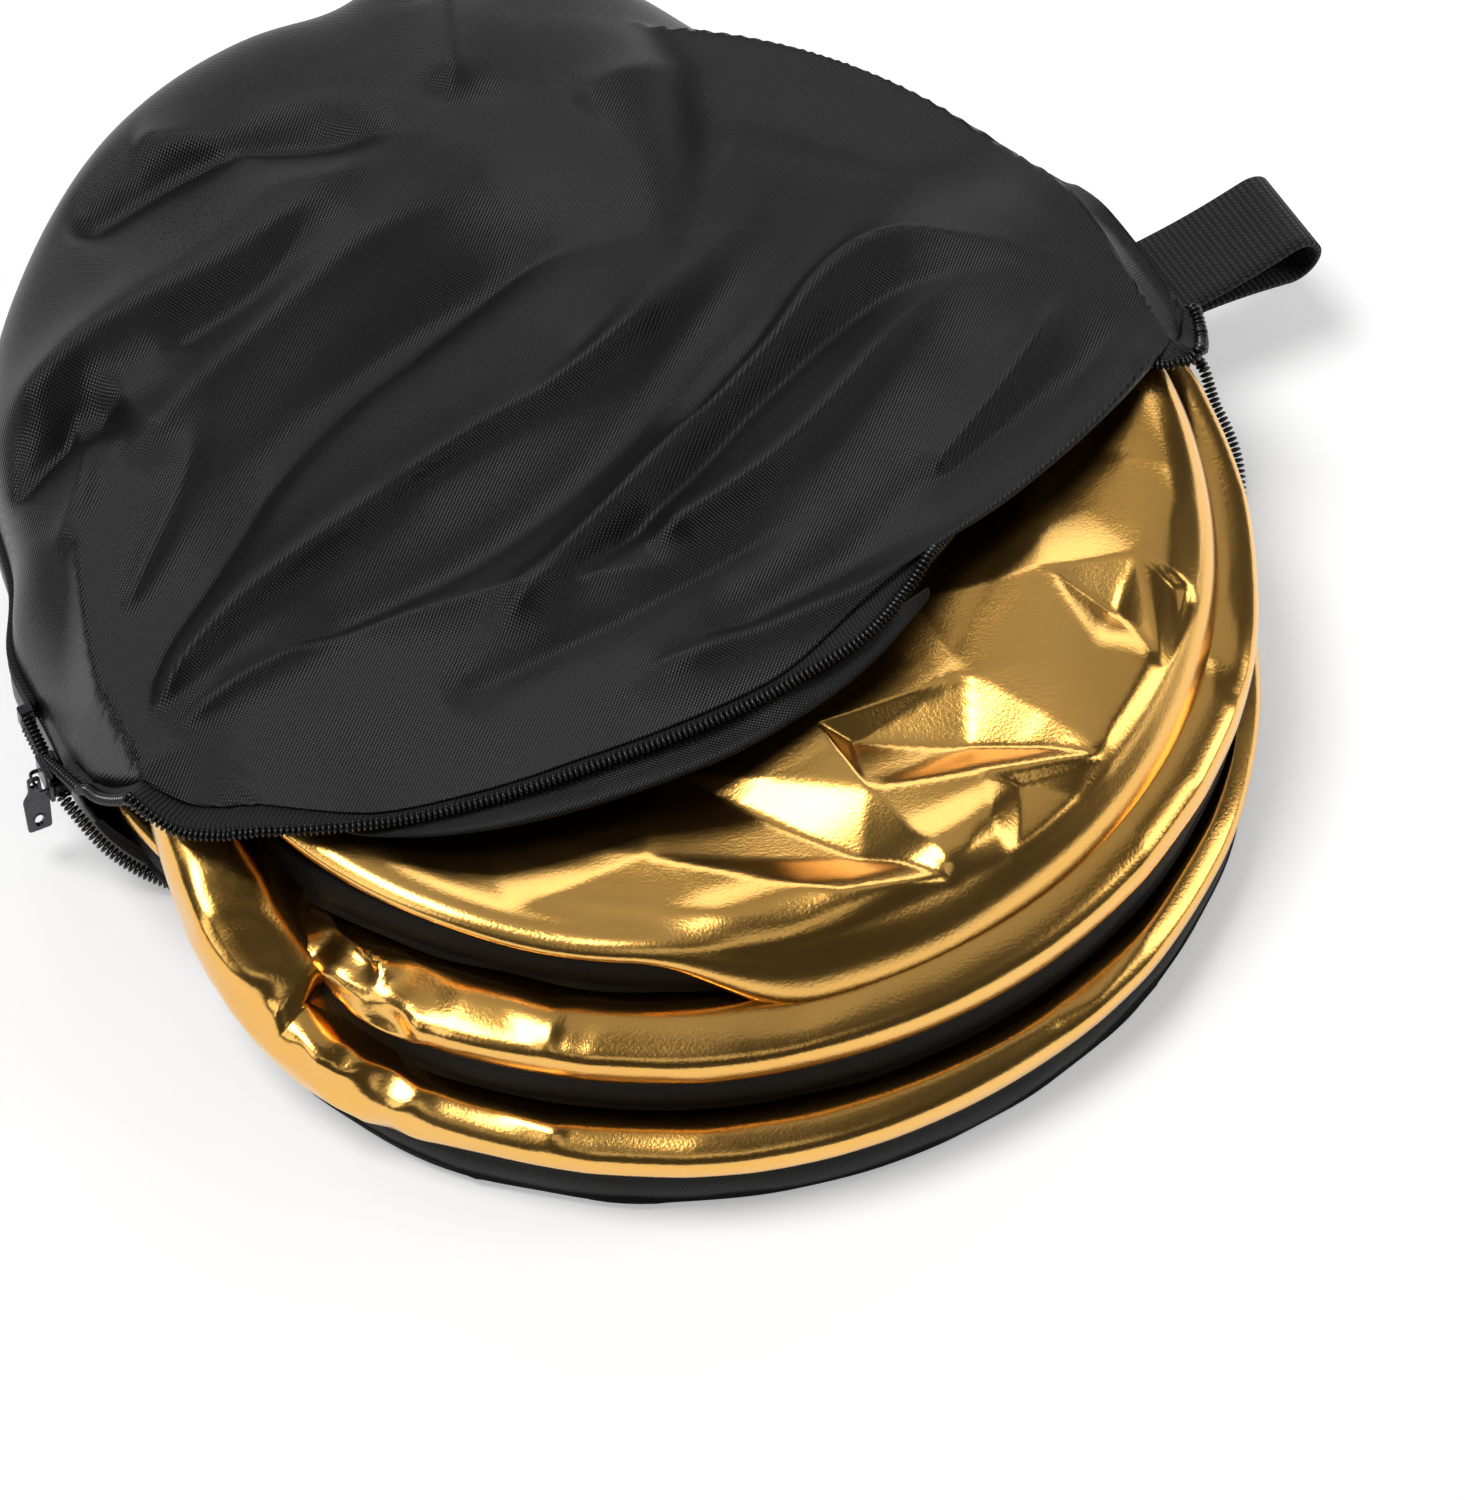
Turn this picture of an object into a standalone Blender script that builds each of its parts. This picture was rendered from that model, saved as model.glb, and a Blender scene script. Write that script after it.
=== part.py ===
"""A collapsible reflector disc, twisted into three loops and half drawn out of its round zip bag.

Metres, +Z up. The bag's mouth faces -Y, with the zip's slider at the -X corner and the hanging loop
at the +X corner. The origin is on the table, midway between the two corners of the mouth.
"""

import math

import bmesh
import bpy
from mathutils import Vector

# Reflector
DISC_DIAMETER = 0.800  # opened out, so the hoop's three loops share its length
BOTTOM_LOOP_WIDER = 0.0057  # than an even third of the hoop
MIDDLE_LOOP_WIDER = 0.0047
LOOP_PITCH = 0.0200  # height from one loop to the next
DISC_FORWARD = 0.0290  # how far the loops stand out of the mouth
BOTTOM_LOOP_SHIFT = (-0.0040, -0.0020)
MIDDLE_LOOP_SHIFT = (0.0, 0.0090)
TOP_LOOP_SHIFT = (0.0030, 0.0120)
CROSSING_MIDDLE = math.radians(191)  # where the hoop climbs from loop to loop and drops back
CROSSING_SPAN = math.radians(72)
CROSSING_DIP = 0.0110  # how far the lower climbing strand swerves in to let the falling one by
CROSSING_HASTE = (1.0, 3.4, 1.3)  # how early in the crossing each strand takes its new radius
CROSSING_LAG = (0.0, 0.0, 0.15)  # how late each strand changes height
BAND_WIDTH = 0.0080
BAND_THICK = 0.0008
BAND_OUTWARD = 0.0009  # the sprung band presses to the outer side of its binding
SPLICE_LENGTH = 0.0220
SPLICE_HEIGHT = 0.0065
SPLICE_THICK = 0.0006
BINDING_DEPTH = 0.0054
BINDING_HEIGHT = 0.0116
BINDING_WALL = 0.0008
BINDING_MOUTH = 0.0020
TOP_CROWN = 0.0105  # of the uppermost gold fold over its loop
DISH_DEPTH = 0.0060
FOLD_SHOULDER = 0.0140  # how far in from the binding a fold reaches its full height

# Bag
CLOTH = 0.0010
BAG_EASE = 0.0010  # between the disc and the bag
BAG_REAR_ROOM = 0.0130  # how much deeper the bag is behind the mouth than half its width
FLOOR_FILLET = 0.0060
SEAM_HEIGHT = 0.0280
SEAM_TAPE_HEIGHT = 0.0060
SEAM_TAPE_THICK = 0.0012
FLAP_REACH = 0.0670
FOLD_LINE = 0.0250  # the flap lifts about a line this far in front of the corners
FRONT_DRAW = 0.0072  # how far the lower panel is drawn in where it lies open in front
CORNER_AHEAD = 0.0120  # how far in front of the corner the side wall drops to the table
CORNER_RUN = 0.0040  # half of the stretch in which it drops

# Zip
TAPE_WIDTH = 0.0090
TAPE_THICK = 0.0008
COIL_RADIUS = 0.0012
CHAIN_TAIL = 0.0100  # how far the chain runs behind the slider's corner
CHAIN_END = 0.0040  # how far in front of the other corner it ends
TAPE_START = math.radians(7)  # where the upper tape begins, from the corner along the mouth
SLIDER_LENGTH = 0.0100
SLIDER_EASE = 0.0001  # between the coils and the slider's lips
SLIDER_PLATE = 0.0010
SLIDER_WEB = 0.0008
SLIDER_LIP = 0.0009
SLIDER_AHEAD = 0.0120  # the slider's leading end, in front of the corners
BAIL_RISE = 0.0026
BAIL_WIDTH = 0.0016
BAIL_SPAN = 0.0066
BAIL_THICK = 0.0009
PULLER_LENGTH = 0.0190  # from its pivot to its tip
PULLER_WIDTH = 0.0066
PULLER_NECK = 0.0030
PULLER_NECK_LENGTH = 0.0055
PULLER_THICK = 0.0010
PULLER_EYE_EASE = 0.0005  # between the eye and the edge of the bail
PULLER_EYE_WALL = 0.0008
PULLER_HOLE = 0.0021  # radius of the finger end's hole
PULLER_HOLE_LENGTH = 0.0040  # between the centres of the hole's two round ends
STOP_LENGTH = 0.0030

# Hanging loop
WEBBING_WIDTH = 0.0250
WEBBING_THICK = 0.0016
HANG_LENGTH = 0.0340  # from its seam to the middle of its rounded end
HANG_OPENING = 0.0110
HANG_FROM = 0.0030  # first edge of the webbing, behind the corner

GAP = 0.0003
TURN_STEPS = 24
CROSSING_STEPS = 16
ARC_STEPS = 36
FLAP_STEPS = 14
CORNER_STEPS = 5

# What follows from the sizes above
MEAN_LOOP = DISC_DIAMETER / 6
LOOP_RADIUS = (
    MEAN_LOOP + BOTTOM_LOOP_WIDER,
    MEAN_LOOP + MIDDLE_LOOP_WIDER,
    MEAN_LOOP - BOTTOM_LOOP_WIDER - MIDDLE_LOOP_WIDER,
)
LOOP_SHIFT = (BOTTOM_LOOP_SHIFT, MIDDLE_LOOP_SHIFT, TOP_LOOP_SHIFT)
DISC_BASE = 2 * COIL_RADIUS + 2 * GAP
LOOP_HEIGHT = [DISC_BASE + BINDING_HEIGHT / 2 + LOOP_PITCH * k for k in range(3)]
FOLD_HALF = LOOP_PITCH / 2 - GAP
WALL_IN = LOOP_RADIUS[0] - BOTTOM_LOOP_SHIFT[0] + BINDING_DEPTH / 2 + BAG_EASE
WALL_OUT = WALL_IN + CLOTH
FRONT_EDGE = WALL_OUT - FRONT_DRAW
REAR_IN = WALL_IN + BAG_REAR_ROOM
CROWN_IN = LOOP_HEIGHT[2] + TOP_CROWN + BAG_EASE / 2
CROWN_OUT = CROWN_IN + CLOTH
COIL_SPREAD = COIL_RADIUS + SLIDER_WEB / 2 + GAP  # of each coil from the seam, at the slider
SLIDER_HEIGHT = 2 * (COIL_SPREAD + COIL_RADIUS + SLIDER_EASE + SLIDER_PLATE)
PULLER_EYE = BAIL_WIDTH / 2 + PULLER_EYE_EASE  # radius of the eye that rides on the bail
CHAIN_OUT = WALL_OUT + GAP + SLIDER_PLATE + GAP + COIL_RADIUS
CROSSING_START = CROSSING_MIDDLE - CROSSING_SPAN / 2


def clear_scene():
    for obj in list(bpy.data.objects):
        bpy.data.objects.remove(obj, do_unlink=True)


def finish(name, colour, roughness, metallic=0.0):
    """A Principled material in the photographed colour."""
    material = bpy.data.materials.new(name)
    material.use_nodes = True
    shader = material.node_tree.nodes["Principled BSDF"]
    shader.inputs["Base Color"].default_value = (*colour, 1.0)
    shader.inputs["Roughness"].default_value = roughness
    shader.inputs["Metallic"].default_value = metallic
    return material


def pivot(name, place):
    empty = bpy.data.objects.new(name, None)
    empty.location = place
    bpy.context.scene.collection.objects.link(empty)
    return empty


def part(name, mesh, material, parent):
    """An object for the mesh, whose points are given in the world, under its body's pivot."""
    mesh.materials.append(material)
    for point in mesh.vertices:
        point.co -= parent.location
    obj = bpy.data.objects.new(name, mesh)
    obj.parent = parent
    bpy.context.scene.collection.objects.link(obj)
    return obj


def mesh_of(name, shape):
    mesh = bpy.data.meshes.new(name)
    shape.to_mesh(mesh)
    shape.free()
    mesh.shade_smooth()
    mesh.set_sharp_from_angle(angle=math.radians(35))
    return mesh


def add_grid(shape, rows):
    """Faces over rows of points; points that fall together are merged afterwards."""
    made = [[shape.verts.new(point) for point in row] for row in rows]
    for row, following in zip(made, made[1:]):
        for k in range(len(row) - 1):
            shape.faces.new((row[k], row[k + 1], following[k + 1], following[k]))


def thicken(name, shape, thickness, grow, facing, material, parent):
    """A sheet made solid: grow +1 thickens it towards facing, -1 away from it, 0 both ways."""
    bmesh.ops.recalc_face_normals(shape, faces=shape.faces)
    shape.normal_update()
    if sum(face.normal.dot(facing) * face.calc_area() for face in shape.faces) < 0:
        bmesh.ops.reverse_faces(shape, faces=shape.faces)
    obj = part(name, mesh_of(name, shape), material, parent)
    solidify = obj.modifiers.new("cloth thickness", "SOLIDIFY")
    solidify.thickness = thickness
    solidify.offset = grow
    solidify.use_even_offset = True


def cloth(name, grids, thickness, grow, facing, material, parent):
    """A sheet over grids of points that share their common edge."""
    shape = bmesh.new()
    for rows in grids:
        add_grid(shape, rows)
    bmesh.ops.remove_doubles(shape, verts=shape.verts, dist=1e-5)
    thicken(name, shape, thickness, grow, facing, material, parent)


def swept(name, sections, material, parent, closed):
    """One solid through a row of equal closed sections."""
    shape = bmesh.new()
    rings = [[shape.verts.new(point) for point in section] for section in sections]
    pairs = list(zip(rings, rings[1:]))
    if closed:
        pairs.append((rings[-1], rings[0]))
    for ring, following in pairs:
        for k in range(len(ring)):
            n = (k + 1) % len(ring)
            shape.faces.new((ring[k], ring[n], following[n], following[k]))
    if not closed:
        shape.faces.new(rings[0][::-1])
        shape.faces.new(rings[-1])
    bmesh.ops.recalc_face_normals(shape, faces=shape.faces)
    return part(name, mesh_of(name, shape), material, parent)


def prism(name, outline, depth, material, parent, bevel=0.0):
    """An outline of points extruded along depth, with its long edges eased by bevel."""
    shape = bmesh.new()
    face = shape.faces.new([shape.verts.new(point) for point in outline])
    out = bmesh.ops.extrude_face_region(shape, geom=[face])
    moved = [item for item in out["geom"] if isinstance(item, bmesh.types.BMVert)]
    bmesh.ops.translate(shape, verts=moved, vec=depth)
    bmesh.ops.recalc_face_normals(shape, faces=shape.faces)
    obj = part(name, mesh_of(name, shape), material, parent)
    if bevel:
        ease = obj.modifiers.new("eased edges", "BEVEL")
        ease.width = bevel
        ease.segments = 1
        ease.limit_method = "ANGLE"
        ease.angle_limit = math.radians(60)
    return obj


def tube(name, path, radius, material, parent):
    """A round bead along a path, six-sided, with filled ends."""
    curve = bpy.data.curves.new(name, "CURVE")
    curve.dimensions = "3D"
    curve.bevel_depth = radius
    curve.bevel_resolution = 1
    curve.use_fill_caps = True
    spline = curve.splines.new("POLY")
    spline.points.add(len(path) - 1)
    for point, place in zip(spline.points, path):
        point.co = (*(place - parent.location), 1.0)
    curve.materials.append(material)
    obj = bpy.data.objects.new(name, curve)
    obj.parent = parent
    bpy.context.scene.collection.objects.link(obj)
    return obj


def smooth(share):
    share = min(1.0, max(0.0, share))
    return share * share * (3 - 2 * share)


def between(a, b, share):
    return a + (b - a) * share


def spread(start, end, steps):
    return [between(start, end, i / steps) for i in range(steps + 1)]


# The hoop's path: angle about the loops' axis, radius and height


def loop_radius(k, angle):
    return LOOP_RADIUS[k] + LOOP_SHIFT[k][0] * math.cos(angle) + LOOP_SHIFT[k][1] * math.sin(angle)


def strand(k, angle):
    """Radius and height of the strand that leaves loop k, at an angle from the crossing's start."""
    share = (angle - CROSSING_START) / CROSSING_SPAN
    after = (k + 1) % 3
    quick = smooth(CROSSING_HASTE[k] * share)
    radius = between(loop_radius(k, angle), loop_radius(after, angle), quick)
    if k == 0:
        radius -= CROSSING_DIP * math.sin(math.pi * min(1.0, max(0.0, share))) ** 2
    rise = smooth((share - CROSSING_LAG[k]) / (1 - CROSSING_LAG[k]))
    return radius, between(LOOP_HEIGHT[k], LOOP_HEIGHT[after], rise)


def turn_angles():
    crossing = [CROSSING_START + CROSSING_SPAN * i / CROSSING_STEPS for i in range(CROSSING_STEPS)]
    rest = 2 * math.pi - CROSSING_SPAN
    onward = CROSSING_START + CROSSING_SPAN
    return crossing + [onward + rest * i / TURN_STEPS for i in range(TURN_STEPS)]


def about_disc(radius, angle, height):
    return Vector((radius * math.cos(angle), radius * math.sin(angle) - DISC_FORWARD, height))


def hoop_sections(outline):
    """The outline, as points out from the strand and up, at every step of the three turns."""
    sections = []
    for k in range(3):
        for angle in turn_angles():
            radius, height = strand(k, angle)
            sections.append([about_disc(radius + out, angle, height + up) for out, up in outline])
    return sections


def measure_gap():
    """Least clear distance between two strands of the binding, in a section through the axis."""
    least = 1.0
    for angle in turn_angles():
        places = [strand(k, angle) for k in range(3)]
        for a, b in ((0, 1), (1, 2), (0, 2)):
            aside = abs(places[a][0] - places[b][0]) - BINDING_DEPTH
            above = abs(places[a][1] - places[b][1]) - BINDING_HEIGHT
            least = min(least, max(aside, above))
    print(f"least gap between turns of the hoop's binding: {least * 1000:.2f} mm")


def hoop_band(material, disc):
    """The sprung band: one flat strip through three turns, its ends meeting at the splice."""
    half, thick = BAND_WIDTH / 2, BAND_THICK / 2
    outline = [
        (BAND_OUTWARD - thick, -half),
        (BAND_OUTWARD + thick, -half),
        (BAND_OUTWARD + thick, half),
        (BAND_OUTWARD - thick, half),
    ]
    sections = hoop_sections(outline)
    middle = splice_index()
    sections = sections[middle:] + sections[:middle]
    ahead = (sections[0][0] - sections[-1][0]).normalized()
    joint = [between(first, last, 0.5) for first, last in zip(sections[0], sections[-1])]
    start = [point + ahead * GAP for point in joint]
    end = [point - ahead * GAP for point in joint]
    swept("hoop_band", [start] + sections + [end], material, disc, closed=False)


def splice_index():
    """The step in the middle turn, opposite the crossing, in front of which the band's ends meet."""
    return len(turn_angles()) + CROSSING_STEPS + TURN_STEPS // 2


def hoop_splice(material, disc):
    """The plate that joins the band's two ends, on its inner side."""
    angles = turn_angles()
    before = angles[splice_index() - len(angles) - 1]
    after = angles[splice_index() - len(angles)]
    inner = BAND_OUTWARD - BAND_THICK / 2
    ends = []
    for angle in (before, after):
        radius, height = strand(1, angle)
        ends.append(about_disc(radius + inner, angle, height))
    along = (ends[1] - ends[0]).normalized()
    inward = Vector((-along.y, along.x, 0.0)) * SPLICE_THICK
    centre = between(ends[0], ends[1], 0.5) + inward.normalized() * GAP
    half, tall = SPLICE_LENGTH / 2, SPLICE_HEIGHT / 2
    corners = ((-half, -tall), (half, -tall), (half, tall), (-half, tall))
    outline = [centre + along * a + Vector((0, 0, up)) for a, up in corners]
    prism("hoop_splice_plate", outline, inward, material, disc)


def edge_binding(material, disc):
    """The tape sewn round the disc's edge: a channel for the band, open on its inner side."""
    out, up = BINDING_DEPTH / 2, BINDING_HEIGHT / 2
    slot_out, slot_up = out - BINDING_WALL, up - BINDING_WALL
    lip = BINDING_MOUTH / 2
    outline = [
        (-out, -up),
        (out, -up),
        (out, up),
        (-out, up),
        (-out, lip),
        (-slot_out, lip),
        (-slot_out, slot_up),
        (slot_out, slot_up),
        (slot_out, -slot_up),
        (-slot_out, -slot_up),
        (-slot_out, -lip),
        (-out, -lip),
    ]
    swept("edge_binding", hoop_sections(outline), material, disc, closed=True)


def fold_reach(k, angle, low, high):
    """How far out a fold of loop k can go before the binding of any strand at its height."""
    reach = loop_radius(k, angle)
    near = BINDING_HEIGHT / 2 + GAP
    step = CROSSING_SPAN / CROSSING_STEPS
    for other in range(3):
        beside = [max(CROSSING_START, angle + turn) for turn in (-step, 0.0, step)]
        places = [strand(other, way) for way in beside]
        if any(low - near < height < high + near for _, height in places):
            reach = min(reach, min(radius for radius, _ in places))
    return reach - BINDING_DEPTH / 2 - GAP


def fabric_fold(name, k, heights, base, material, disc):
    """Bunched fabric inside loop k: heights run from the binding to the middle, over a flat base."""
    inset = (0.0, FOLD_SHOULDER / 3, FOLD_SHOULDER, 3 * FOLD_SHOULDER)
    low = min(base, min(heights))
    high = max(base, max(heights))
    angles = turn_angles()
    shape = bmesh.new()
    crown = shape.verts.new(about_disc(0.0, 0.0, heights[-1]))
    foot = shape.verts.new(about_disc(0.0, 0.0, base))
    rings = []
    for way, height in zip(inset, heights):
        reach = [fold_reach(k, angle, low, high) - way for angle in angles]
        rings.append([shape.verts.new(about_disc(r, a, height)) for r, a in zip(reach, angles)])
    edge = [shape.verts.new(about_disc(fold_reach(k, a, low, high), a, base)) for a in angles]
    rings.insert(0, edge)
    count = len(angles)
    for ring, following in zip(rings, rings[1:]):
        for i in range(count):
            n = (i + 1) % count
            shape.faces.new((ring[i], ring[n], following[n], following[i]))
    for i in range(count):
        n = (i + 1) % count
        shape.faces.new((rings[-1][i], rings[-1][n], crown))
        shape.faces.new((edge[n], edge[i], foot))
    bmesh.ops.recalc_face_normals(shape, faces=shape.faces)
    part(name, mesh_of(name, shape), material, disc)


def fabric_folds(gold, black, disc):
    """Each loop holds a puff of the gold face above its binding and of the black face below it."""
    for k, place in enumerate(("bottom", "middle", "top")):
        middle = LOOP_HEIGHT[k]
        rise = FOLD_HALF if k < 2 else TOP_CROWN
        sink = BINDING_HEIGHT / 2 if k == 0 else FOLD_HALF
        dish = DISH_DEPTH if k == 2 else GAP
        edge = 0.35
        above = [middle + rise * edge, middle + rise * 0.8, middle + rise, middle + rise - dish]
        below = [middle - sink * edge, middle - sink * 0.8, middle - sink, middle - sink + GAP]
        fabric_fold(f"gold_fold_{place}", k, above + above[-1:], middle + GAP / 2, gold, disc)
        fabric_fold(f"black_fold_{place}", k, below + below[-1:], middle - GAP / 2, black, disc)


# The bag


def crown_profile():
    """Half width and height of the upper panel's inner face, from the middle to the seam."""
    top_out = LOOP_RADIUS[2] + TOP_LOOP_SHIFT[0] + BINDING_DEPTH / 2 + BAG_EASE
    middle_out = LOOP_RADIUS[1] + BINDING_DEPTH / 2 + BAG_EASE
    top_up = LOOP_HEIGHT[2] + BINDING_HEIGHT / 2
    middle_up = LOOP_HEIGHT[1] + BINDING_HEIGHT / 2
    return [
        (0.0, CROWN_IN),
        (top_out * 0.45, CROWN_IN),
        (top_out - FOLD_SHOULDER, CROWN_IN),
        (top_out, between(top_up, CROWN_IN, 0.4)),
        (between(top_out, middle_out, 0.7), between(middle_up, top_up, 0.6)),
        (middle_out + BAG_EASE, middle_up + BAG_EASE),
        (WALL_IN, SEAM_HEIGHT + GAP),
    ]


def crown_height(aside):
    profile = crown_profile()
    for (a, low), (b, high) in zip(profile, profile[1:]):
        if aside <= b:
            return between(low, high, (aside - a) / (b - a))
    return profile[-1][1]


def mouth_row(reach, angle):
    """Points across the bag at one step of the mouth's edge, an ellipse of this reach."""
    half = WALL_IN * math.cos(angle)
    stations = [aside / WALL_IN for aside, _ in crown_profile()]
    stations = [-s for s in stations[:0:-1]] + stations
    return [
        Vector((half * s, -reach * math.sin(angle), crown_height(half * abs(s)))) for s in stations
    ]


def fold_angle():
    return math.asin(FOLD_LINE / FLAP_REACH)


def corner_angles():
    """Steps along the mouth's edge from a corner to the flap's fold line."""
    return spread(0.0, fold_angle(), CORNER_STEPS)


def flap_angles():
    """Steps along the mouth's edge from the flap's fold line to its middle."""
    return spread(fold_angle(), math.pi / 2, FLAP_STEPS)


def upper_panel(material, bag):
    """The upper round of cloth behind the flap's fold line, domed over the disc."""
    rear = []
    for i in range(ARC_STEPS + 1):
        angle = math.pi * i / ARC_STEPS
        rear.append(
            [
                Vector((a * math.cos(angle), a / WALL_IN * REAR_IN * math.sin(angle), height))
                for a, height in crown_profile()
            ]
        )
    front = [mouth_row(FLAP_REACH, angle) for angle in corner_angles()]
    up = Vector((0, 0, 1))
    cloth("bag_upper_panel", [rear, front], CLOTH, 1, up, material, bag)


def mouth_flap(material, flap):
    """The front lip of the upper panel, from the fold line to the zip."""
    rows = [mouth_row(FLAP_REACH, angle) for angle in flap_angles()]
    rows[0] = [point - Vector((0, GAP, 0)) for point in rows[0]]
    cloth("mouth_flap", [rows], CLOTH, 1, Vector((0, 0, 1)), material, flap)


def ahead_of_corner(angle):
    return -WALL_OUT * math.sin(angle)


def wall_share(angle):
    """1 where the lower panel stands up as the side wall, 0 where it lies open in front."""
    past = ahead_of_corner(angle) - CORNER_AHEAD
    return min(1.0, max(0.0, (CORNER_RUN - past) / (2 * CORNER_RUN)))


def front_radius(angle):
    """Radius of the lower panel's open edge: wide at the corners, drawn in to the front."""
    past = ahead_of_corner(angle) - CORNER_AHEAD - 2 * CORNER_RUN
    return between(WALL_OUT, FRONT_EDGE, smooth(past / (5 * CORNER_RUN)))


def panel_angles():
    """Steps round the lower panel, close together where the wall drops at the two corners."""
    drop = (-CORNER_RUN, 0.0, CORNER_RUN, 2 * CORNER_RUN, 4 * CORNER_RUN, 7 * CORNER_RUN)
    corner = [0.0] + [(CORNER_AHEAD + run) / WALL_OUT for run in drop]
    rear = spread(0.0, math.pi, ARC_STEPS)[1:-1]
    front = spread(math.pi + corner[-1], 2 * math.pi - corner[-1], ARC_STEPS)
    left = [math.pi + ahead for ahead in corner[:-1]]
    right = [2 * math.pi - ahead for ahead in corner[-2::-1]]
    return rear + left + front + right


def lower_panel(material, bag):
    """The lower round of cloth: flat on the table, turned up behind as a wall to the seam."""
    floor = WALL_OUT - 3 * FLOOR_FILLET
    wall = [
        (WALL_OUT - FLOOR_FILLET, 0.0),
        (WALL_OUT - FLOOR_FILLET * 0.3, FLOOR_FILLET * 0.13),
        (WALL_OUT, FLOOR_FILLET * 0.5),
        (WALL_OUT, SEAM_HEIGHT / 2),
        (WALL_OUT, SEAM_HEIGHT),
    ]
    rings = [[] for _ in range(len(wall) + 1)]
    for angle in panel_angles():
        share = wall_share(angle)
        behind = math.sin(angle) > 0
        deep = (REAR_IN + CLOTH) / WALL_OUT if behind else 1.0
        straight = 1.0 if behind or share == 0.0 else 1 / abs(math.cos(angle))
        edge = front_radius(angle)
        rings[0].append(Vector((floor * math.cos(angle), floor * math.sin(angle) * deep, 0.0)))
        for k, (radius, height) in enumerate(wall):
            drawn = between(WALL_OUT - FLOOR_FILLET, WALL_OUT, k / (len(wall) - 1))
            flat = floor + (drawn - floor) * (edge - floor) / (WALL_OUT - floor)
            out = between(flat, radius * straight, smooth(4 * share))
            rings[k + 1].append(
                Vector((out * math.cos(angle), out * math.sin(angle) * deep, height * share))
            )
    shape = bmesh.new()
    made = [[shape.verts.new(point) for point in ring] for ring in rings]
    count = len(made[0])
    for ring, following in zip(made, made[1:]):
        for i in range(count):
            n = (i + 1) % count
            shape.faces.new((ring[i], ring[n], following[n], following[i]))
    shape.faces.new(made[0])
    thicken("bag_lower_panel", shape, CLOTH, -1, Vector((0, 0, -1)), material, bag)


def seam_tape(material, bag):
    """The bound seam that joins the two rounds of cloth behind the mouth."""
    low, high = SEAM_HEIGHT - SEAM_TAPE_HEIGHT / 2, SEAM_HEIGHT + SEAM_TAPE_HEIGHT / 2
    inner, outer = GAP, GAP + SEAM_TAPE_THICK
    first = math.asin(HANG_FROM / REAR_IN)
    last = math.pi - math.asin((CHAIN_TAIL + STOP_LENGTH + 3 * GAP) / REAR_IN)
    sections = []
    for angle in spread(first, last, ARC_STEPS):
        corners = ((inner, low), (outer, low), (outer, high), (inner, high))
        sections.append([seam_point(angle, out, up) for out, up in corners])
    swept("seam_tape", sections, material, bag, closed=False)


def seam_point(angle, out, height):
    """A point this far outside the bag's wall, behind the mouth."""
    across = (WALL_OUT + out) * math.cos(angle)
    return Vector((across, (REAR_IN + CLOTH + out) * math.sin(angle), height))


# The zip


def crown_point(angle, reach, ahead, lift):
    """A point on the mouth's edge, outside an ellipse of this reach and off the cloth by lift."""
    way = Vector((math.cos(angle) / WALL_IN, -math.sin(angle) / reach, 0.0)).normalized()
    across = WALL_IN * math.cos(angle) + way.x * ahead
    aside = abs(across)
    slope = (crown_height(aside + GAP) - crown_height(max(0.0, aside - GAP))) / (2 * GAP)
    if aside + GAP > WALL_IN:
        slope = (crown_height(WALL_IN) - crown_height(WALL_IN - GAP)) / GAP
    length = math.hypot(slope, 1.0)
    outward = math.copysign(-slope / length, across)
    return Vector(
        (
            across + outward * lift,
            -reach * math.sin(angle) + way.y * ahead,
            crown_height(aside) + lift / length,
        )
    )


def upper_tape(name, angles, material, parent):
    rows = []
    for angle in angles:
        inner = crown_point(angle, FLAP_REACH, GAP, CLOTH / 2)
        outer = crown_point(angle, FLAP_REACH + TAPE_WIDTH, GAP, CLOTH / 2)
        rows.append([inner, outer])
    cloth(name, [rows], TAPE_THICK, 0, Vector((0, 0, 1)), material, parent)


def stations(first, last, angles):
    """The steps that lie between two ends, with the ends themselves."""
    return [first] + [angle for angle in angles if first < angle < last] + [last]


def upper_coil_path(angles):
    ahead = 2 * GAP + COIL_RADIUS
    reach = FLAP_REACH + TAPE_WIDTH
    return [crown_point(angle, reach, ahead, COIL_RADIUS) for angle in angles]


def mirrored(point):
    return Vector((-point.x, point.y, point.z))


def upper_zip(tape, nylon, bag, flap):
    """The flap's half of the zip: the front run lifts with the flap, both ends stay at the corners."""
    turn = fold_angle()
    half = flap_angles()
    along = half + [math.pi - angle for angle in half[-2::-1]]
    upper_tape("zip_tape_upper", along, tape, flap)
    right = stations(TAPE_START, math.acos(math.cos(turn) + GAP / WALL_IN), corner_angles())
    upper_tape("zip_tape_upper_right", right, tape, bag)
    upper_tape("zip_tape_upper_left", [math.pi - angle for angle in right], tape, bag)
    apart = 2 * GAP / FOLD_LINE
    front = upper_coil_path(stations(turn + apart, math.pi - turn - apart, along))
    tube("zip_coil_upper", front, COIL_RADIUS, nylon, flap)
    climb = math.asin((SLIDER_AHEAD + 2 * CORNER_RUN) / (FLAP_REACH + TAPE_WIDTH))
    run = upper_coil_path(stations(climb, turn - apart, corner_angles()))
    height = SEAM_HEIGHT + COIL_SPREAD
    lead = Vector((CHAIN_OUT, -SLIDER_AHEAD - GAP, height))
    end = Vector((CHAIN_OUT, -CHAIN_END, height))
    tail = Vector((-CHAIN_OUT, CHAIN_TAIL, height))
    tube("zip_coil_upper_right", [end, lead] + run, COIL_RADIUS, nylon, bag)
    left = [tail, mirrored(lead)] + [mirrored(point) for point in run]
    tube("zip_coil_upper_left", left, COIL_RADIUS, nylon, bag)


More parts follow.
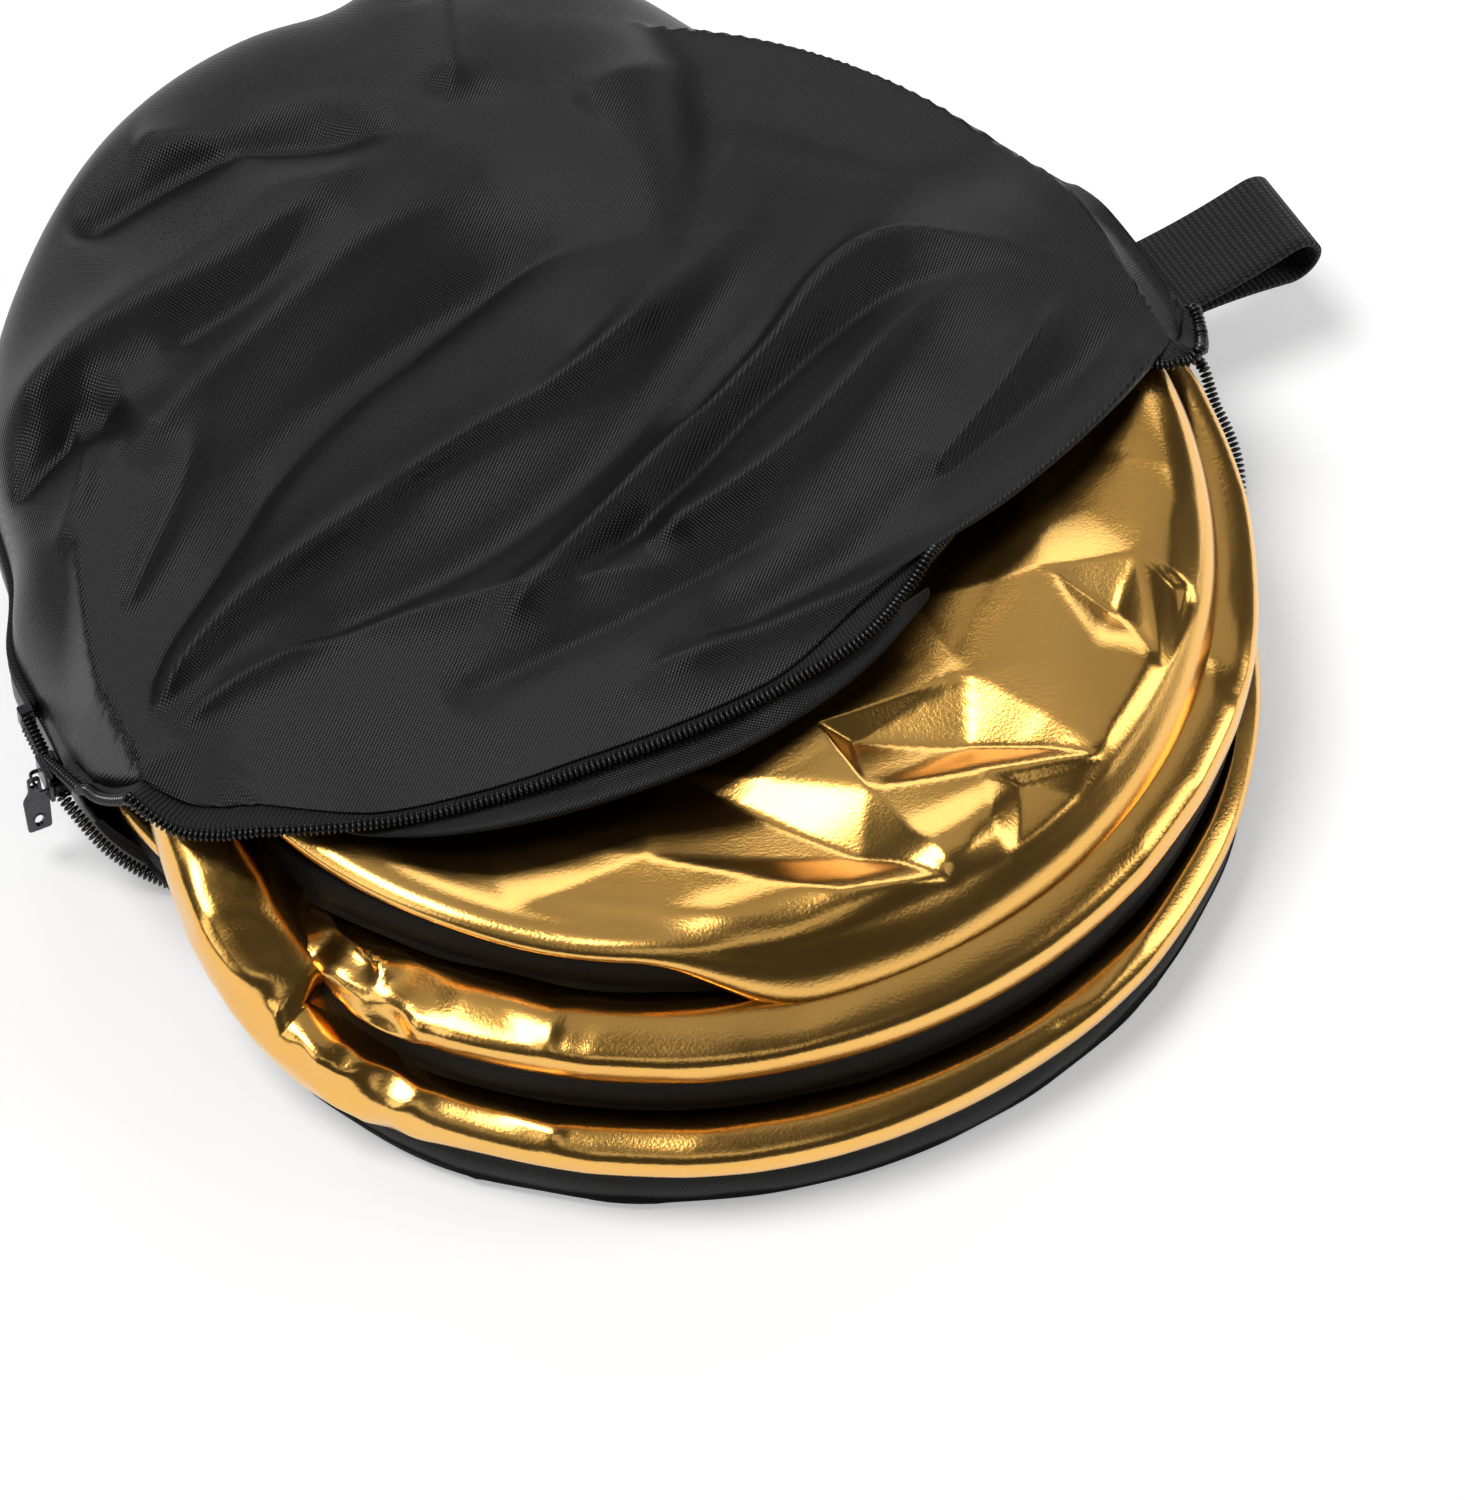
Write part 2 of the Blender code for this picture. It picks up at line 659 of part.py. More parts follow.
def lower_zip(tape, nylon, bag):
    """The lower panel's half: flat on the table in front, standing up to the two corners."""
    coil_out = FRONT_EDGE + TAPE_WIDTH + 2 * GAP + COIL_RADIUS
    tape_out = coil_out - COIL_RADIUS - GAP
    flat_from = CORNER_AHEAD + CORNER_RUN
    rows = []
    for angle in panel_angles():
        if ahead_of_corner(angle) < flat_from:
            continue
        way = Vector((math.cos(angle), math.sin(angle), 0.0))
        rise = Vector((0.0, 0.0, TAPE_THICK / 2))
        rows.append([way * (front_radius(angle) + GAP) + rise, way * tape_out + rise])
    cloth("zip_tape_lower", [rows], TAPE_THICK, 0, Vector((0, 0, 1)), tape, bag)
    height = SEAM_HEIGHT - COIL_SPREAD
    drop = [
        Vector((CHAIN_OUT, -SLIDER_AHEAD - GAP, height)),
        Vector((CHAIN_OUT, -SLIDER_AHEAD - CORNER_RUN * 0.8, height * 0.90)),
        Vector((CHAIN_OUT, -SLIDER_AHEAD - CORNER_RUN * 1.1, height * 0.60)),
        Vector((CHAIN_OUT, -SLIDER_AHEAD - CORNER_RUN * 1.4, height * 0.30)),
        Vector((CHAIN_OUT, -SLIDER_AHEAD - CORNER_RUN * 2.2, height * 0.09)),
    ]
    flat = math.asin((SLIDER_AHEAD + CORNER_RUN * 4) / coil_out)
    front = [
        Vector((coil_out * math.cos(angle), coil_out * math.sin(angle), COIL_RADIUS))
        for angle in spread(math.pi + flat, 2 * math.pi - flat, ARC_STEPS)
    ]
    tail = Vector((-CHAIN_OUT, CHAIN_TAIL, height))
    end = Vector((CHAIN_OUT, -CHAIN_END, height))
    path = [tail] + [mirrored(point) for point in drop] + front + drop[::-1] + [end]
    tube("zip_coil_lower", path, COIL_RADIUS, nylon, bag)


def block(name, low, high, material, parent):
    outline = [
        Vector((low.x, low.y, low.z)),
        Vector((high.x, low.y, low.z)),
        Vector((high.x, low.y, high.z)),
        Vector((low.x, low.y, high.z)),
    ]
    prism(name, outline, Vector((0, high.y - low.y, 0)), material, parent, GAP)


def zip_stops(steel, bag):
    """Crimps that end the chain behind the slider and each coil at the other corner."""
    near, far = WALL_OUT + GAP, CHAIN_OUT + COIL_RADIUS
    tall = COIL_SPREAD + COIL_RADIUS
    start = CHAIN_TAIL + GAP
    low = Vector((-far, start, SEAM_HEIGHT - tall))
    high = Vector((-near, start + STOP_LENGTH, SEAM_HEIGHT + tall))
    block("zip_bottom_stop", low, high, steel, bag)
    for name, middle in (("upper", SEAM_HEIGHT + COIL_SPREAD), ("lower", SEAM_HEIGHT - COIL_SPREAD)):
        low = Vector((near, GAP - CHAIN_END, middle - COIL_RADIUS))
        high = Vector((far, GAP - CHAIN_END + STOP_LENGTH, middle + COIL_RADIUS))
        block(f"zip_top_stop_{name}", low, high, steel, bag)


def slider(metal, carrier):
    """The slider's body: two lipped plates joined by the web that parts the coils, and its bail."""
    face = COIL_RADIUS + GAP
    back = face + SLIDER_PLATE
    half = SLIDER_HEIGHT / 2
    web = SLIDER_WEB / 2
    lip = face - SLIDER_LIP
    edge = half - SLIDER_PLATE
    corner = [(back, half), (lip, half), (lip, edge), (face, edge), (face, web)]
    outline = corner + [(-a, up) for a, up in corner[::-1]]
    outline += [(-a, -up) for a, up in corner] + [(a, -up) for a, up in corner[::-1]]
    points = [
        Vector((-CHAIN_OUT + a, -SLIDER_AHEAD, SEAM_HEIGHT + up)) for a, up in outline
    ]
    prism("slider_body", points, Vector((0, SLIDER_LENGTH, 0)), metal, carrier)
    foot = -CHAIN_OUT - back - GAP
    middle = SLIDER_LENGTH / 2 - SLIDER_AHEAD
    span, rise, thick = BAIL_SPAN / 2, BAIL_RISE, BAIL_THICK
    arch = [
        (-span, 0.0),
        (-span, rise),
        (span, rise),
        (span, 0.0),
        (span - thick, 0.0),
        (span - thick, rise - thick),
        (thick - span, rise - thick),
        (thick - span, 0.0),
    ]
    points = [
        Vector((foot - out, middle + along, SEAM_HEIGHT - BAIL_WIDTH / 2)) for along, out in arch
    ]
    prism("slider_bail", points, Vector((0, 0, BAIL_WIDTH)), metal, carrier)


def puller_pivot():
    """The middle of the bail's bar, which the puller's eye hangs on."""
    out = COIL_RADIUS + 2 * GAP + SLIDER_PLATE + BAIL_RISE - BAIL_THICK / 2
    return Vector((-CHAIN_OUT - out, SLIDER_LENGTH / 2 - SLIDER_AHEAD, SEAM_HEIGHT))


def arc(centre, radius, first, last, steps):
    return [
        (centre[0] + radius * math.cos(angle), centre[1] + radius * math.sin(angle))
        for angle in spread(math.radians(first), math.radians(last), steps)
    ]


def slider_puller(metal, puller):
    """The tab that hangs from the bail: an eye, a neck and a broad end with a slotted hole."""
    eye = PULLER_EYE + PULLER_EYE_WALL
    neck, wide = PULLER_NECK / 2, PULLER_WIDTH / 2
    fork = math.degrees(math.asin(neck / eye))
    tip = -PULLER_LENGTH + wide
    outline = arc((0.0, 0.0), eye, 270 + fork, 630 - fork, 14)
    outline += [(-neck, -PULLER_NECK_LENGTH), (-wide, -PULLER_NECK_LENGTH - wide)]
    outline += arc((0.0, tip), wide, 180, 360, 8)
    outline += [(wide, -PULLER_NECK_LENGTH - wide), (neck, -PULLER_NECK_LENGTH)]
    slot = arc((0.0, tip), PULLER_HOLE, 180, 360, 6)
    slot += arc((0.0, tip + PULLER_HOLE_LENGTH), PULLER_HOLE, 0, 180, 6)
    hole = arc((0.0, 0.0), PULLER_EYE, 0, 330, 11)
    curve = bpy.data.curves.new("slider_puller", "CURVE")
    curve.dimensions = "2D"
    curve.fill_mode = "BOTH"
    curve.extrude = PULLER_THICK / 2
    for points in (outline, slot, hole):
        spline = curve.splines.new("POLY")
        spline.points.add(len(points) - 1)
        spline.use_cyclic_u = True
        for point, (across, up) in zip(spline.points, points):
            point.co = (across, up, 0.0, 1.0)
    curve.materials.append(metal)
    obj = bpy.data.objects.new("slider_puller", curve)
    obj.rotation_euler = (math.pi / 2, 0.0, 0.0)
    obj.parent = puller
    bpy.context.scene.collection.objects.link(obj)


# The hanging loop


def hang_angle():
    return math.asin((HANG_FROM + WEBBING_WIDTH / 2) / (REAR_IN + CLOTH))


def hang_pivot():
    """The middle of the line along which the webbing is caught in the seam."""
    base = WEBBING_THICK + 2 * GAP
    return seam_point(hang_angle(), SEAM_TAPE_THICK + 2 * GAP + base, SEAM_HEIGHT)


def hang_loop(webbing, hang):
    """A band of webbing folded back on itself, its two ends caught together in the seam."""
    angle = hang_angle()
    along = Vector((-WALL_OUT * math.sin(angle), (REAR_IN + CLOTH) * math.cos(angle), 0.0))
    along.normalize()
    out = Vector((along.y, -along.x, 0.0))
    base = WEBBING_THICK / 2 + GAP
    end = (HANG_OPENING + WEBBING_THICK) / 2
    lean = math.degrees(math.asin((end - base) / HANG_LENGTH))
    sections = []
    for side in (1, -1):
        offset = side * WEBBING_THICK / 2
        ring = arc((0.0, 0.0), base + offset, 90 + lean, 270 - lean, 6)
        ring += arc((HANG_LENGTH, 0.0), end + offset, -90 - lean, 90 + lean, 14)
        sections.append(ring)
    pivot_place = hang_pivot()
    rings = []
    for (out_a, up_a), (out_b, up_b) in zip(sections[0], sections[1]):
        outer = pivot_place + out * out_a + Vector((0, 0, up_a))
        inner = pivot_place + out * out_b + Vector((0, 0, up_b))
        half = along * WEBBING_WIDTH / 2
        rings.append([outer - half, outer + half, inner + half, inner - half])
    swept("hang_loop", rings, webbing, hang, closed=True)


def main():
    clear_scene()
    nylon = finish("black nylon", (0.020, 0.020, 0.021), 0.55)
    tape = finish("black tape", (0.012, 0.012, 0.012), 0.80)
    webbing = finish("black webbing", (0.016, 0.016, 0.016), 0.75)
    coil = finish("black zip coil", (0.010, 0.010, 0.010), 0.35)
    gold = finish("gold foil cloth", (0.80, 0.50, 0.14), 0.25, 1.0)
    steel = finish("spring steel", (0.45, 0.45, 0.47), 0.35, 1.0)
    black_metal = finish("black plated zinc", (0.05, 0.05, 0.055), 0.30, 1.0)
    bag = pivot("bag", Vector((0, 0, 0)))
    disc = pivot("folded_disc", Vector((0, -DISC_FORWARD, 0)))
    flap = pivot("flap_line", Vector((0, -FOLD_LINE, CROWN_OUT)))
    carrier = pivot("slider", Vector((-CHAIN_OUT, -SLIDER_AHEAD, SEAM_HEIGHT)))
    puller = pivot("puller", puller_pivot())
    hang = pivot("hang_seam", hang_pivot())
    measure_gap()
    hoop_band(steel, disc)
    hoop_splice(steel, disc)
    edge_binding(tape, disc)
    fabric_folds(gold, nylon, disc)
    upper_panel(nylon, bag)
    mouth_flap(nylon, flap)
    lower_panel(nylon, bag)
    seam_tape(tape, bag)
    upper_zip(tape, coil, bag, flap)
    lower_zip(tape, coil, bag)
    zip_stops(black_metal, bag)
    slider(black_metal, carrier)
    slider_puller(black_metal, puller)
    hang_loop(webbing, hang)
    print(f"flap line at {tuple(round(v, 5) for v in flap.location)}")
    print(f"puller pivot at {tuple(round(v, 5) for v in puller.location)}")
    print(f"hanging loop seam at {tuple(round(v, 5) for v in hang.location)}")


main()
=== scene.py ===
# %% [markdown]
# # A reflector disc, half out of its bag
# A collapsible reflector is a round of cloth, gold on one face and black on the other, on a sprung hoop of
# steel. Twisted, the hoop falls into three loops, and the bunched disc goes into a round zip bag. The packed
# model gives the sizes, the bodies and the joints. This lesson makes the cloth, the zip and the finishes.

# %% Load the frame
import math

import bmesh
import bpy
import numpy as np
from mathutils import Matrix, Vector, noise
from mathutils.geometry import delaunay_2d_cdt


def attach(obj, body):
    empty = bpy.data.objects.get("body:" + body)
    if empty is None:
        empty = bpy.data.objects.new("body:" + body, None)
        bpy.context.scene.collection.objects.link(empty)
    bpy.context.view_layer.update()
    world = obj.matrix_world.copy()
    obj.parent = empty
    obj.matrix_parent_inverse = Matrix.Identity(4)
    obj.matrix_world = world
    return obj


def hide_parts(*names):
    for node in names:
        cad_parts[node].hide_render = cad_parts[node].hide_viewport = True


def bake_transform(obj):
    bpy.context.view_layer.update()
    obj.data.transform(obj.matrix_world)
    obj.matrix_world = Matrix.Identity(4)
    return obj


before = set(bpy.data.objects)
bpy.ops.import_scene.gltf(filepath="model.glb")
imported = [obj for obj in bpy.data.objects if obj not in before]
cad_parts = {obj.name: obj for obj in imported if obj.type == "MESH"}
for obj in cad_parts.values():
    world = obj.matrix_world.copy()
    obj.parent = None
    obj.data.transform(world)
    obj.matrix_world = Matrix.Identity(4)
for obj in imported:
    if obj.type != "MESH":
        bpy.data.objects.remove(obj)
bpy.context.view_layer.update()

# %% [markdown]
# ## Working tools
# Cloth is easiest to reason about as a grid: rows of points worked out with numpy, then turned into faces at
# once. Each grid also gets cloth coordinates in metres, so that a weave keeps its real size. The alternative,
# sculpting by hand, can't be repeated from a script.

# %% Grids into meshes
MM = 0.001


def lay_grid(name, points, cloth_uv, wrap_rows=False, wrap_columns=False):
    """An object over rows x columns of points; a wrapped direction is closed on itself."""
    rows, columns = points.shape[:2]
    corner = np.array([[0, 0], [0, 1], [1, 1], [1, 0]])
    tall = rows - 1 + wrap_rows
    wide = columns - 1 + wrap_columns
    row, column = np.meshgrid(np.arange(tall), np.arange(wide), indexing="ij")
    row = row[..., None] + corner[:, 0]
    column = column[..., None] + corner[:, 1]
    faces = (row % rows) * columns + column % columns
    mesh = bpy.data.meshes.new(name)
    mesh.from_pydata(points.reshape(-1, 3).tolist(), [], faces.reshape(-1, 4).tolist())
    layer = mesh.uv_layers.new(name="cloth")
    layer.data.foreach_set("uv", cloth_uv[row, column].reshape(-1).astype(np.float32))
    mesh.shade_smooth()
    obj = bpy.data.objects.new(name, mesh)
    bpy.context.scene.collection.objects.link(obj)
    return obj


def face_outward(obj, towards=None):
    """Turns the faces outward, or, on an open sheet, to the side that towards points to."""
    shape = bmesh.new()
    shape.from_mesh(obj.data)
    bmesh.ops.recalc_face_normals(shape, faces=shape.faces)
    if towards is not None:
        shape.normal_update()
        lean = sum(face.normal.dot(towards) * face.calc_area() for face in shape.faces)
        if lean < 0:
            bmesh.ops.reverse_faces(shape, faces=shape.faces)
    shape.to_mesh(obj.data)
    shape.free()


def close_ends(obj):
    shape = bmesh.new()
    shape.from_mesh(obj.data)
    open_edges = [edge for edge in shape.edges if edge.is_boundary]
    bmesh.ops.holes_fill(shape, edges=open_edges, sides=0)
    bmesh.ops.recalc_face_normals(shape, faces=shape.faces)
    shape.to_mesh(obj.data)
    shape.free()


def weld(obj):
    """Joins points that lie in the same place."""
    shape = bmesh.new()
    shape.from_mesh(obj.data)
    bmesh.ops.remove_doubles(shape, verts=shape.verts, dist=1e-5)
    shape.to_mesh(obj.data)
    shape.free()


def thicken(obj, thickness, offset):
    ply = obj.modifiers.new("cloth thickness", "SOLIDIFY")
    ply.thickness = thickness
    ply.offset = offset


def report(obj):
    print(f"{obj.name}: {len(obj.data.vertices)} points")


def smoothstep(low, high, value):
    share = np.clip((value - low) / (high - low), 0.0, 1.0)
    return share * share * (3 - 2 * share)


def mix(a, b, share):
    return a + (b - a) * share


def spline(points, count):
    """A smooth run of points through the given ones."""
    points = np.asarray(points, float)
    place = np.linspace(0, len(points) - 1, count)
    k = np.clip(place.astype(int), 0, len(points) - 2)
    t = (place - k)[:, None]
    before = points[np.clip(k - 1, 0, None)]
    a, b = points[k], points[k + 1]
    after = points[np.clip(k + 2, None, len(points) - 1)]
    ease = -before + 3 * a - 3 * b + after
    return 0.5 * (2 * a + (b - before) * t + (2 * before - 5 * a + 4 * b - after) * t**2 + ease * t**3)


def along(points):
    """Distance run along a row of points."""
    steps = np.linalg.norm(np.diff(points, axis=0), axis=1)
    return np.concatenate([[0.0], np.cumsum(steps)])


def rumple(points, size, seed):
    """Smooth noise between about -1 and 1 at each point, with lumps of this size."""
    flat = points.reshape(-1, 3) / size + seed
    values = [noise.noise(Vector(place)) for place in flat.tolist()]
    return np.array(values).reshape(points.shape[:-1])


print("helpers for grids, smooth lines and noise are ready")

# %% [markdown]
# A fold or a crease is a line with a height that dies away to its sides. A soft fold has a rounded top, like
# thick cloth; a crease in foil has a hard one. Both are added to a grid's height as a sum, which keeps the
# cloth in one piece however many lines cross.

# %% Folds over a plan


def line_distance(x, y, line):
    """Distance in plan to a smooth line through points in mm, the share run along it, and the side."""
    path = spline(line, 40) * MM
    run = along(path)
    nearest = np.full(x.shape, 1e9)
    share = np.zeros_like(x)
    side = np.zeros_like(x)
    for k in range(len(path) - 1):
        way = path[k + 1] - path[k]
        t = np.clip(((x - path[k, 0]) * way[0] + (y - path[k, 1]) * way[1]) / (way @ way), 0, 1)
        dx, dy = x - path[k, 0] - t * way[0], y - path[k, 1] - t * way[1]
        distance = np.hypot(dx, dy)
        closer = distance < nearest
        nearest = np.where(closer, distance, nearest)
        share = np.where(closer, mix(run[k], run[k + 1], t) / run[-1], share)
        side = np.where(closer, np.sign(way[0] * dy - way[1] * dx), side)
    return nearest, share, side


def fold(x, y, line, height, width, skew):
    """A soft fold (mm); skew makes one of its sides steeper."""
    distance, share, side = line_distance(x, y, line)
    spread = mix(width[0], width[1], share) * MM * (1 + skew * side)
    blunt = 0.30 * mix(width[0], width[1], share) * MM
    ends = smoothstep(0.0, 0.12, share) * smoothstep(1.0, 0.72, share)
    return height * MM * np.exp((blunt - np.hypot(distance, blunt)) / spread) * mix(0.10, 1.0, ends)


def tent(x, y, line, height, width):
    """A crease with straight flanks and a hard top."""
    distance, share, _ = line_distance(x, y, line)
    spread = mix(width[0], width[1], share) * MM
    blunt = np.hypot(distance, 0.6 * MM) / spread
    ends = smoothstep(0.0, 0.12, share) * smoothstep(1.0, 0.94, share)
    return height * MM * np.clip(1 - blunt, 0, None) ** 1.15 * mix(0.25, 1.0, ends)


print("helpers for folds and creases are ready")

# %% [markdown]
# ## Camera
# The camera looks down at the mouth from the slider's side, from far enough away that the bag keeps its
# shape. It is placed by one point of the object and where that point falls in a 1466 x 1500 picture.

# %% Place the camera
IMAGE = (1466, 1500)
AZIMUTH, ELEVATION = -25.0, 55.0
DISTANCE = 1.60
PIXELS_PER_METRE = 4190
TARGET = Vector((0.0, -0.02, 0.03))
TARGET_PIXEL = (660, 593)


def make_camera():
    turned, tilt = math.radians(AZIMUTH), math.radians(ELEVATION)
    look = Vector((-math.sin(turned) * math.cos(tilt), math.cos(turned) * math.cos(tilt), -math.sin(tilt)))
    right = look.cross(Vector((0, 0, 1))).normalized()
    up = right.cross(look)
    off_x = (IMAGE[0] / 2 - TARGET_PIXEL[0]) / PIXELS_PER_METRE
    off_y = (IMAGE[1] / 2 - TARGET_PIXEL[1]) / PIXELS_PER_METRE
    data = bpy.data.cameras.new("camera")
    data.sensor_fit = "HORIZONTAL"
    data.lens = data.sensor_width * DISTANCE * PIXELS_PER_METRE / IMAGE[0]
    obj = bpy.data.objects.new("camera", data)
    obj.location = TARGET + right * off_x - up * off_y - look * DISTANCE
    obj.rotation_euler = look.to_track_quat("-Z", "Y").to_euler()
    bpy.context.scene.collection.objects.link(obj)
    bpy.context.scene.camera = obj
    print(f"camera lens {data.lens:.0f} mm")


make_camera()

# %% [markdown]
# ## Finishes
# A finish is a Principled material whose colour, roughness and bump are worked out by nodes. Node sums are
# easier to read as sums, so a small class wraps a socket and lets Python's operators add the Math nodes.

# %% Socket arithmetic


class Wire:
    """A node's output that can be added to, multiplied and so on."""

    def __init__(self, finish, socket):
        self.finish = finish
        self.socket = socket

    def math(self, operation, *values):
        sockets = dict(enumerate(values))
        return self.finish.node("ShaderNodeMath", {"operation": operation}, sockets)

    def __add__(self, other):
        return self.math("ADD", self, other)

    def __sub__(self, other):
        return self.math("SUBTRACT", self, other)

    def __rsub__(self, other):
        return self.math("SUBTRACT", other, self)

    def __mul__(self, other):
        return self.math("MULTIPLY", self, other)

    def __truediv__(self, other):
        return self.math("DIVIDE", self, other)

    __radd__ = __add__
    __rmul__ = __mul__


class Finish:
    """A material, with the sockets that stay the same all over set straight on its shader."""

    def __init__(self, name, constants):
        self.material = bpy.data.materials.new(name)
        self.material.use_nodes = True
        self.tree = self.material.node_tree
        self.shader = self.tree.nodes["Principled BSDF"]
        for socket, value in constants.items():
            self.shader.inputs[socket].default_value = value

    def node(self, kind, settings, sockets, output=0):
        made = self.tree.nodes.new(kind)
        for key, value in settings.items():
            setattr(made, key, value)
        for key, value in sockets.items():
            self.feed(made.inputs[key], value)
        return Wire(self, made.outputs[output])

    def feed(self, socket, value):
        if isinstance(value, Wire):
            self.tree.links.new(value.socket, socket)
        else:
            socket.default_value = value

    def cloth(self):
        """Cloth coordinates in metres, as two values."""
        place = self.node("ShaderNodeTexCoord", {}, {}, "UV")
        parts = {"Vector": place}
        return (
            self.node("ShaderNodeSeparateXYZ", {}, parts, "X"),
            self.node("ShaderNodeSeparateXYZ", {}, parts, "Y"),
        )

    def solid(self):
        return self.node("ShaderNodeTexCoord", {}, {}, "Object")

    def cloud(self, size, detail=3.0, rough=0.55):
        """Noise in space with lumps of this size in metres, from 0 to 1."""
        sockets = {"Vector": self.solid(), "Scale": 1 / size, "Detail": detail, "Roughness": rough}
        return self.node("ShaderNodeTexNoise", {}, sockets, 0)

    def wave(self, value):
        """From 0 to 1 and back once for each whole step of the value."""
        turned = value * (2 * math.pi)
        return turned.math("SINE", turned) * 0.5 + 0.5

    def shade(self, dark, light, share):
        """A colour between two; a Mix node's colour sockets are found by their places."""
        sockets = {0: share, 6: (*dark, 1.0), 7: (*light, 1.0)}
        return self.node("ShaderNodeMix", {"data_type": "RGBA"}, sockets, 2)

    def wear(self, colour=None, roughness=None, height=None, depth=0.0, strength=1.0):
        """Feeds what varies over the surface into the shader."""
        if colour is not None:
            self.feed(self.shader.inputs["Base Color"], colour)
        if roughness is not None:
            self.feed(self.shader.inputs["Roughness"], roughness)
        if height is not None:
            sockets = {"Height": height, "Distance": depth, "Strength": strength}
            self.feed(self.shader.inputs["Normal"], self.node("ShaderNodeBump", {}, sockets))
        return self.material


print("socket arithmetic: + - * /")

# %% [markdown]
# ### Black cloths
# The bag is thin coated nylon: a fine plain weave with a soft gloss. The zip's tape is a herringbone, the
# webbing has thick cross ribs, and the disc's black face is a plain matt lining. Each weave is drawn from the
# cloth coordinates, so it runs with the cloth over every fold.

# %% Nylon, lining, tape and webbing
THREAD, LINING_THREAD = 1.00 * MM, 0.95 * MM
TWILL, STRIPE = 1.10 * MM, 3.2 * MM
RIB, FINE_THREAD = 1.70 * MM, 1.15 * MM
PATCH = 0.030


def woven(name, pitch, dark, light, rough, depth, constants):
    """A plain weave: threads along and across that take turns on top."""
    finish = Finish(name, constants)
    u, v = finish.cloth()
    warp = finish.wave(u / pitch)
    weft = finish.wave(v / pitch)
    over = warp * weft + (1 - warp) * (1 - weft)
    patch = finish.cloud(PATCH)
    colour = finish.shade(dark, light, over * 0.75 + patch * 0.25)
    return finish.wear(colour, over * -0.08 + patch * 0.12 + rough, over, depth)


def herringbone(name):
    """Zip tape: slanted ribs that turn back at every stripe."""
    finish = Finish(name, {"Specular IOR Level": 0.35, "Sheen Weight": 0.05})
    u, v = finish.cloth()
    stripe = u / STRIPE
    zigzag = stripe.math("PINGPONG", stripe, 1.0)
    rib = finish.wave(v / TWILL + zigzag * 1.6)
    colour = finish.shade((0.003, 0.003, 0.003), (0.018, 0.018, 0.019), rib)
    return finish.wear(colour, rib * -0.1 + 0.72, rib, 0.25 * MM)


def ribbed(name):
    """Webbing: thick ribs across, with finer threads over them."""
    finish = Finish(name, {"Specular IOR Level": 0.35, "Sheen Weight": 0.06})
    u, v = finish.cloth()
    rib = finish.wave(v / RIB)
    thread = finish.wave(u / FINE_THREAD + finish.wave(v / (2 * RIB)) * 0.5)
    over = rib * (thread * 0.6 + 0.4)
    colour = finish.shade((0.005, 0.005, 0.005), (0.040, 0.040, 0.041), over)
    return finish.wear(colour, over * -0.12 + 0.75, over, 0.45 * MM)


nylon = woven(
    "black nylon",
    THREAD,
    (0.0012, 0.0012, 0.0013),
    (0.0110, 0.0110, 0.0114),
    0.34,
    0.14 * MM,
    {"Specular IOR Level": 0.36},
)
lining = woven(
    "black lining",
    LINING_THREAD,
    (0.0020, 0.0020, 0.0020),
    (0.0090, 0.0090, 0.0092),
    0.60,
    0.12 * MM,
    {"Sheen Weight": 0.02, "Specular IOR Level": 0.25},
)
tape = herringbone("black zip tape")
webbing = ribbed("black webbing")
print("black cloths:", nylon.name, lining.name, tape.name, webbing.name)

# %% [markdown]
# ### Gold foil cloth and the metals
# The gold face is a metallised film on thin cloth. It mirrors the room softly, with a fine leathery grain, so
# it is a metal with a low roughness and a shallow bump. Noise changes the roughness a little, as handling
# does.

# %% Foil, coil and metal
HANDLED, GRAIN = 0.045, 0.8 * MM


def foil_finish():
    finish = Finish("gold foil", {"Metallic": 1.0, "Coat Weight": 0.35, "Coat Roughness": 0.16})
    patch = finish.cloud(HANDLED)
    grain = finish.cloud(GRAIN, 2.0)
    colour = finish.shade((0.87, 0.45, 0.09), (0.95, 0.57, 0.16), patch)
    return finish.wear(colour, patch * 0.07 + grain * 0.07 + 0.16, grain, 0.10 * MM, 0.5)


def coil_finish():
    finish = Finish("black coil", {"Specular IOR Level": 0.6})
    patch = finish.cloud(2.0 * MM)
    colour = finish.shade((0.004, 0.004, 0.004), (0.014, 0.014, 0.015), patch)
    return finish.wear(colour, patch * 0.10 + 0.12, patch, 0.03 * MM)


def plated_finish(name, dark, light, rough):
    finish = Finish(name, {"Metallic": 1.0})
    patch = finish.cloud(1.6 * MM, 4.0)
    colour = finish.shade(dark, light, patch)
    return finish.wear(colour, patch * 0.18 + rough, patch, 0.03 * MM)


gold = foil_finish()
coil = coil_finish()
black_metal = plated_finish("black plated zinc", (0.030, 0.030, 0.033), (0.10, 0.10, 0.11), 0.22)
steel = plated_finish("spring steel", (0.30, 0.30, 0.31), (0.52, 0.52, 0.54), 0.28)
print("foil and metals:", gold.name, coil.name, black_metal.name, steel.name)

# %% [markdown]
# ## The hoop's path
# Everything on the disc follows the sprung hoop. It lies in three loops, one over the other, and climbs from
# loop to loop where they cross, beside the slider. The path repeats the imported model's own rule.

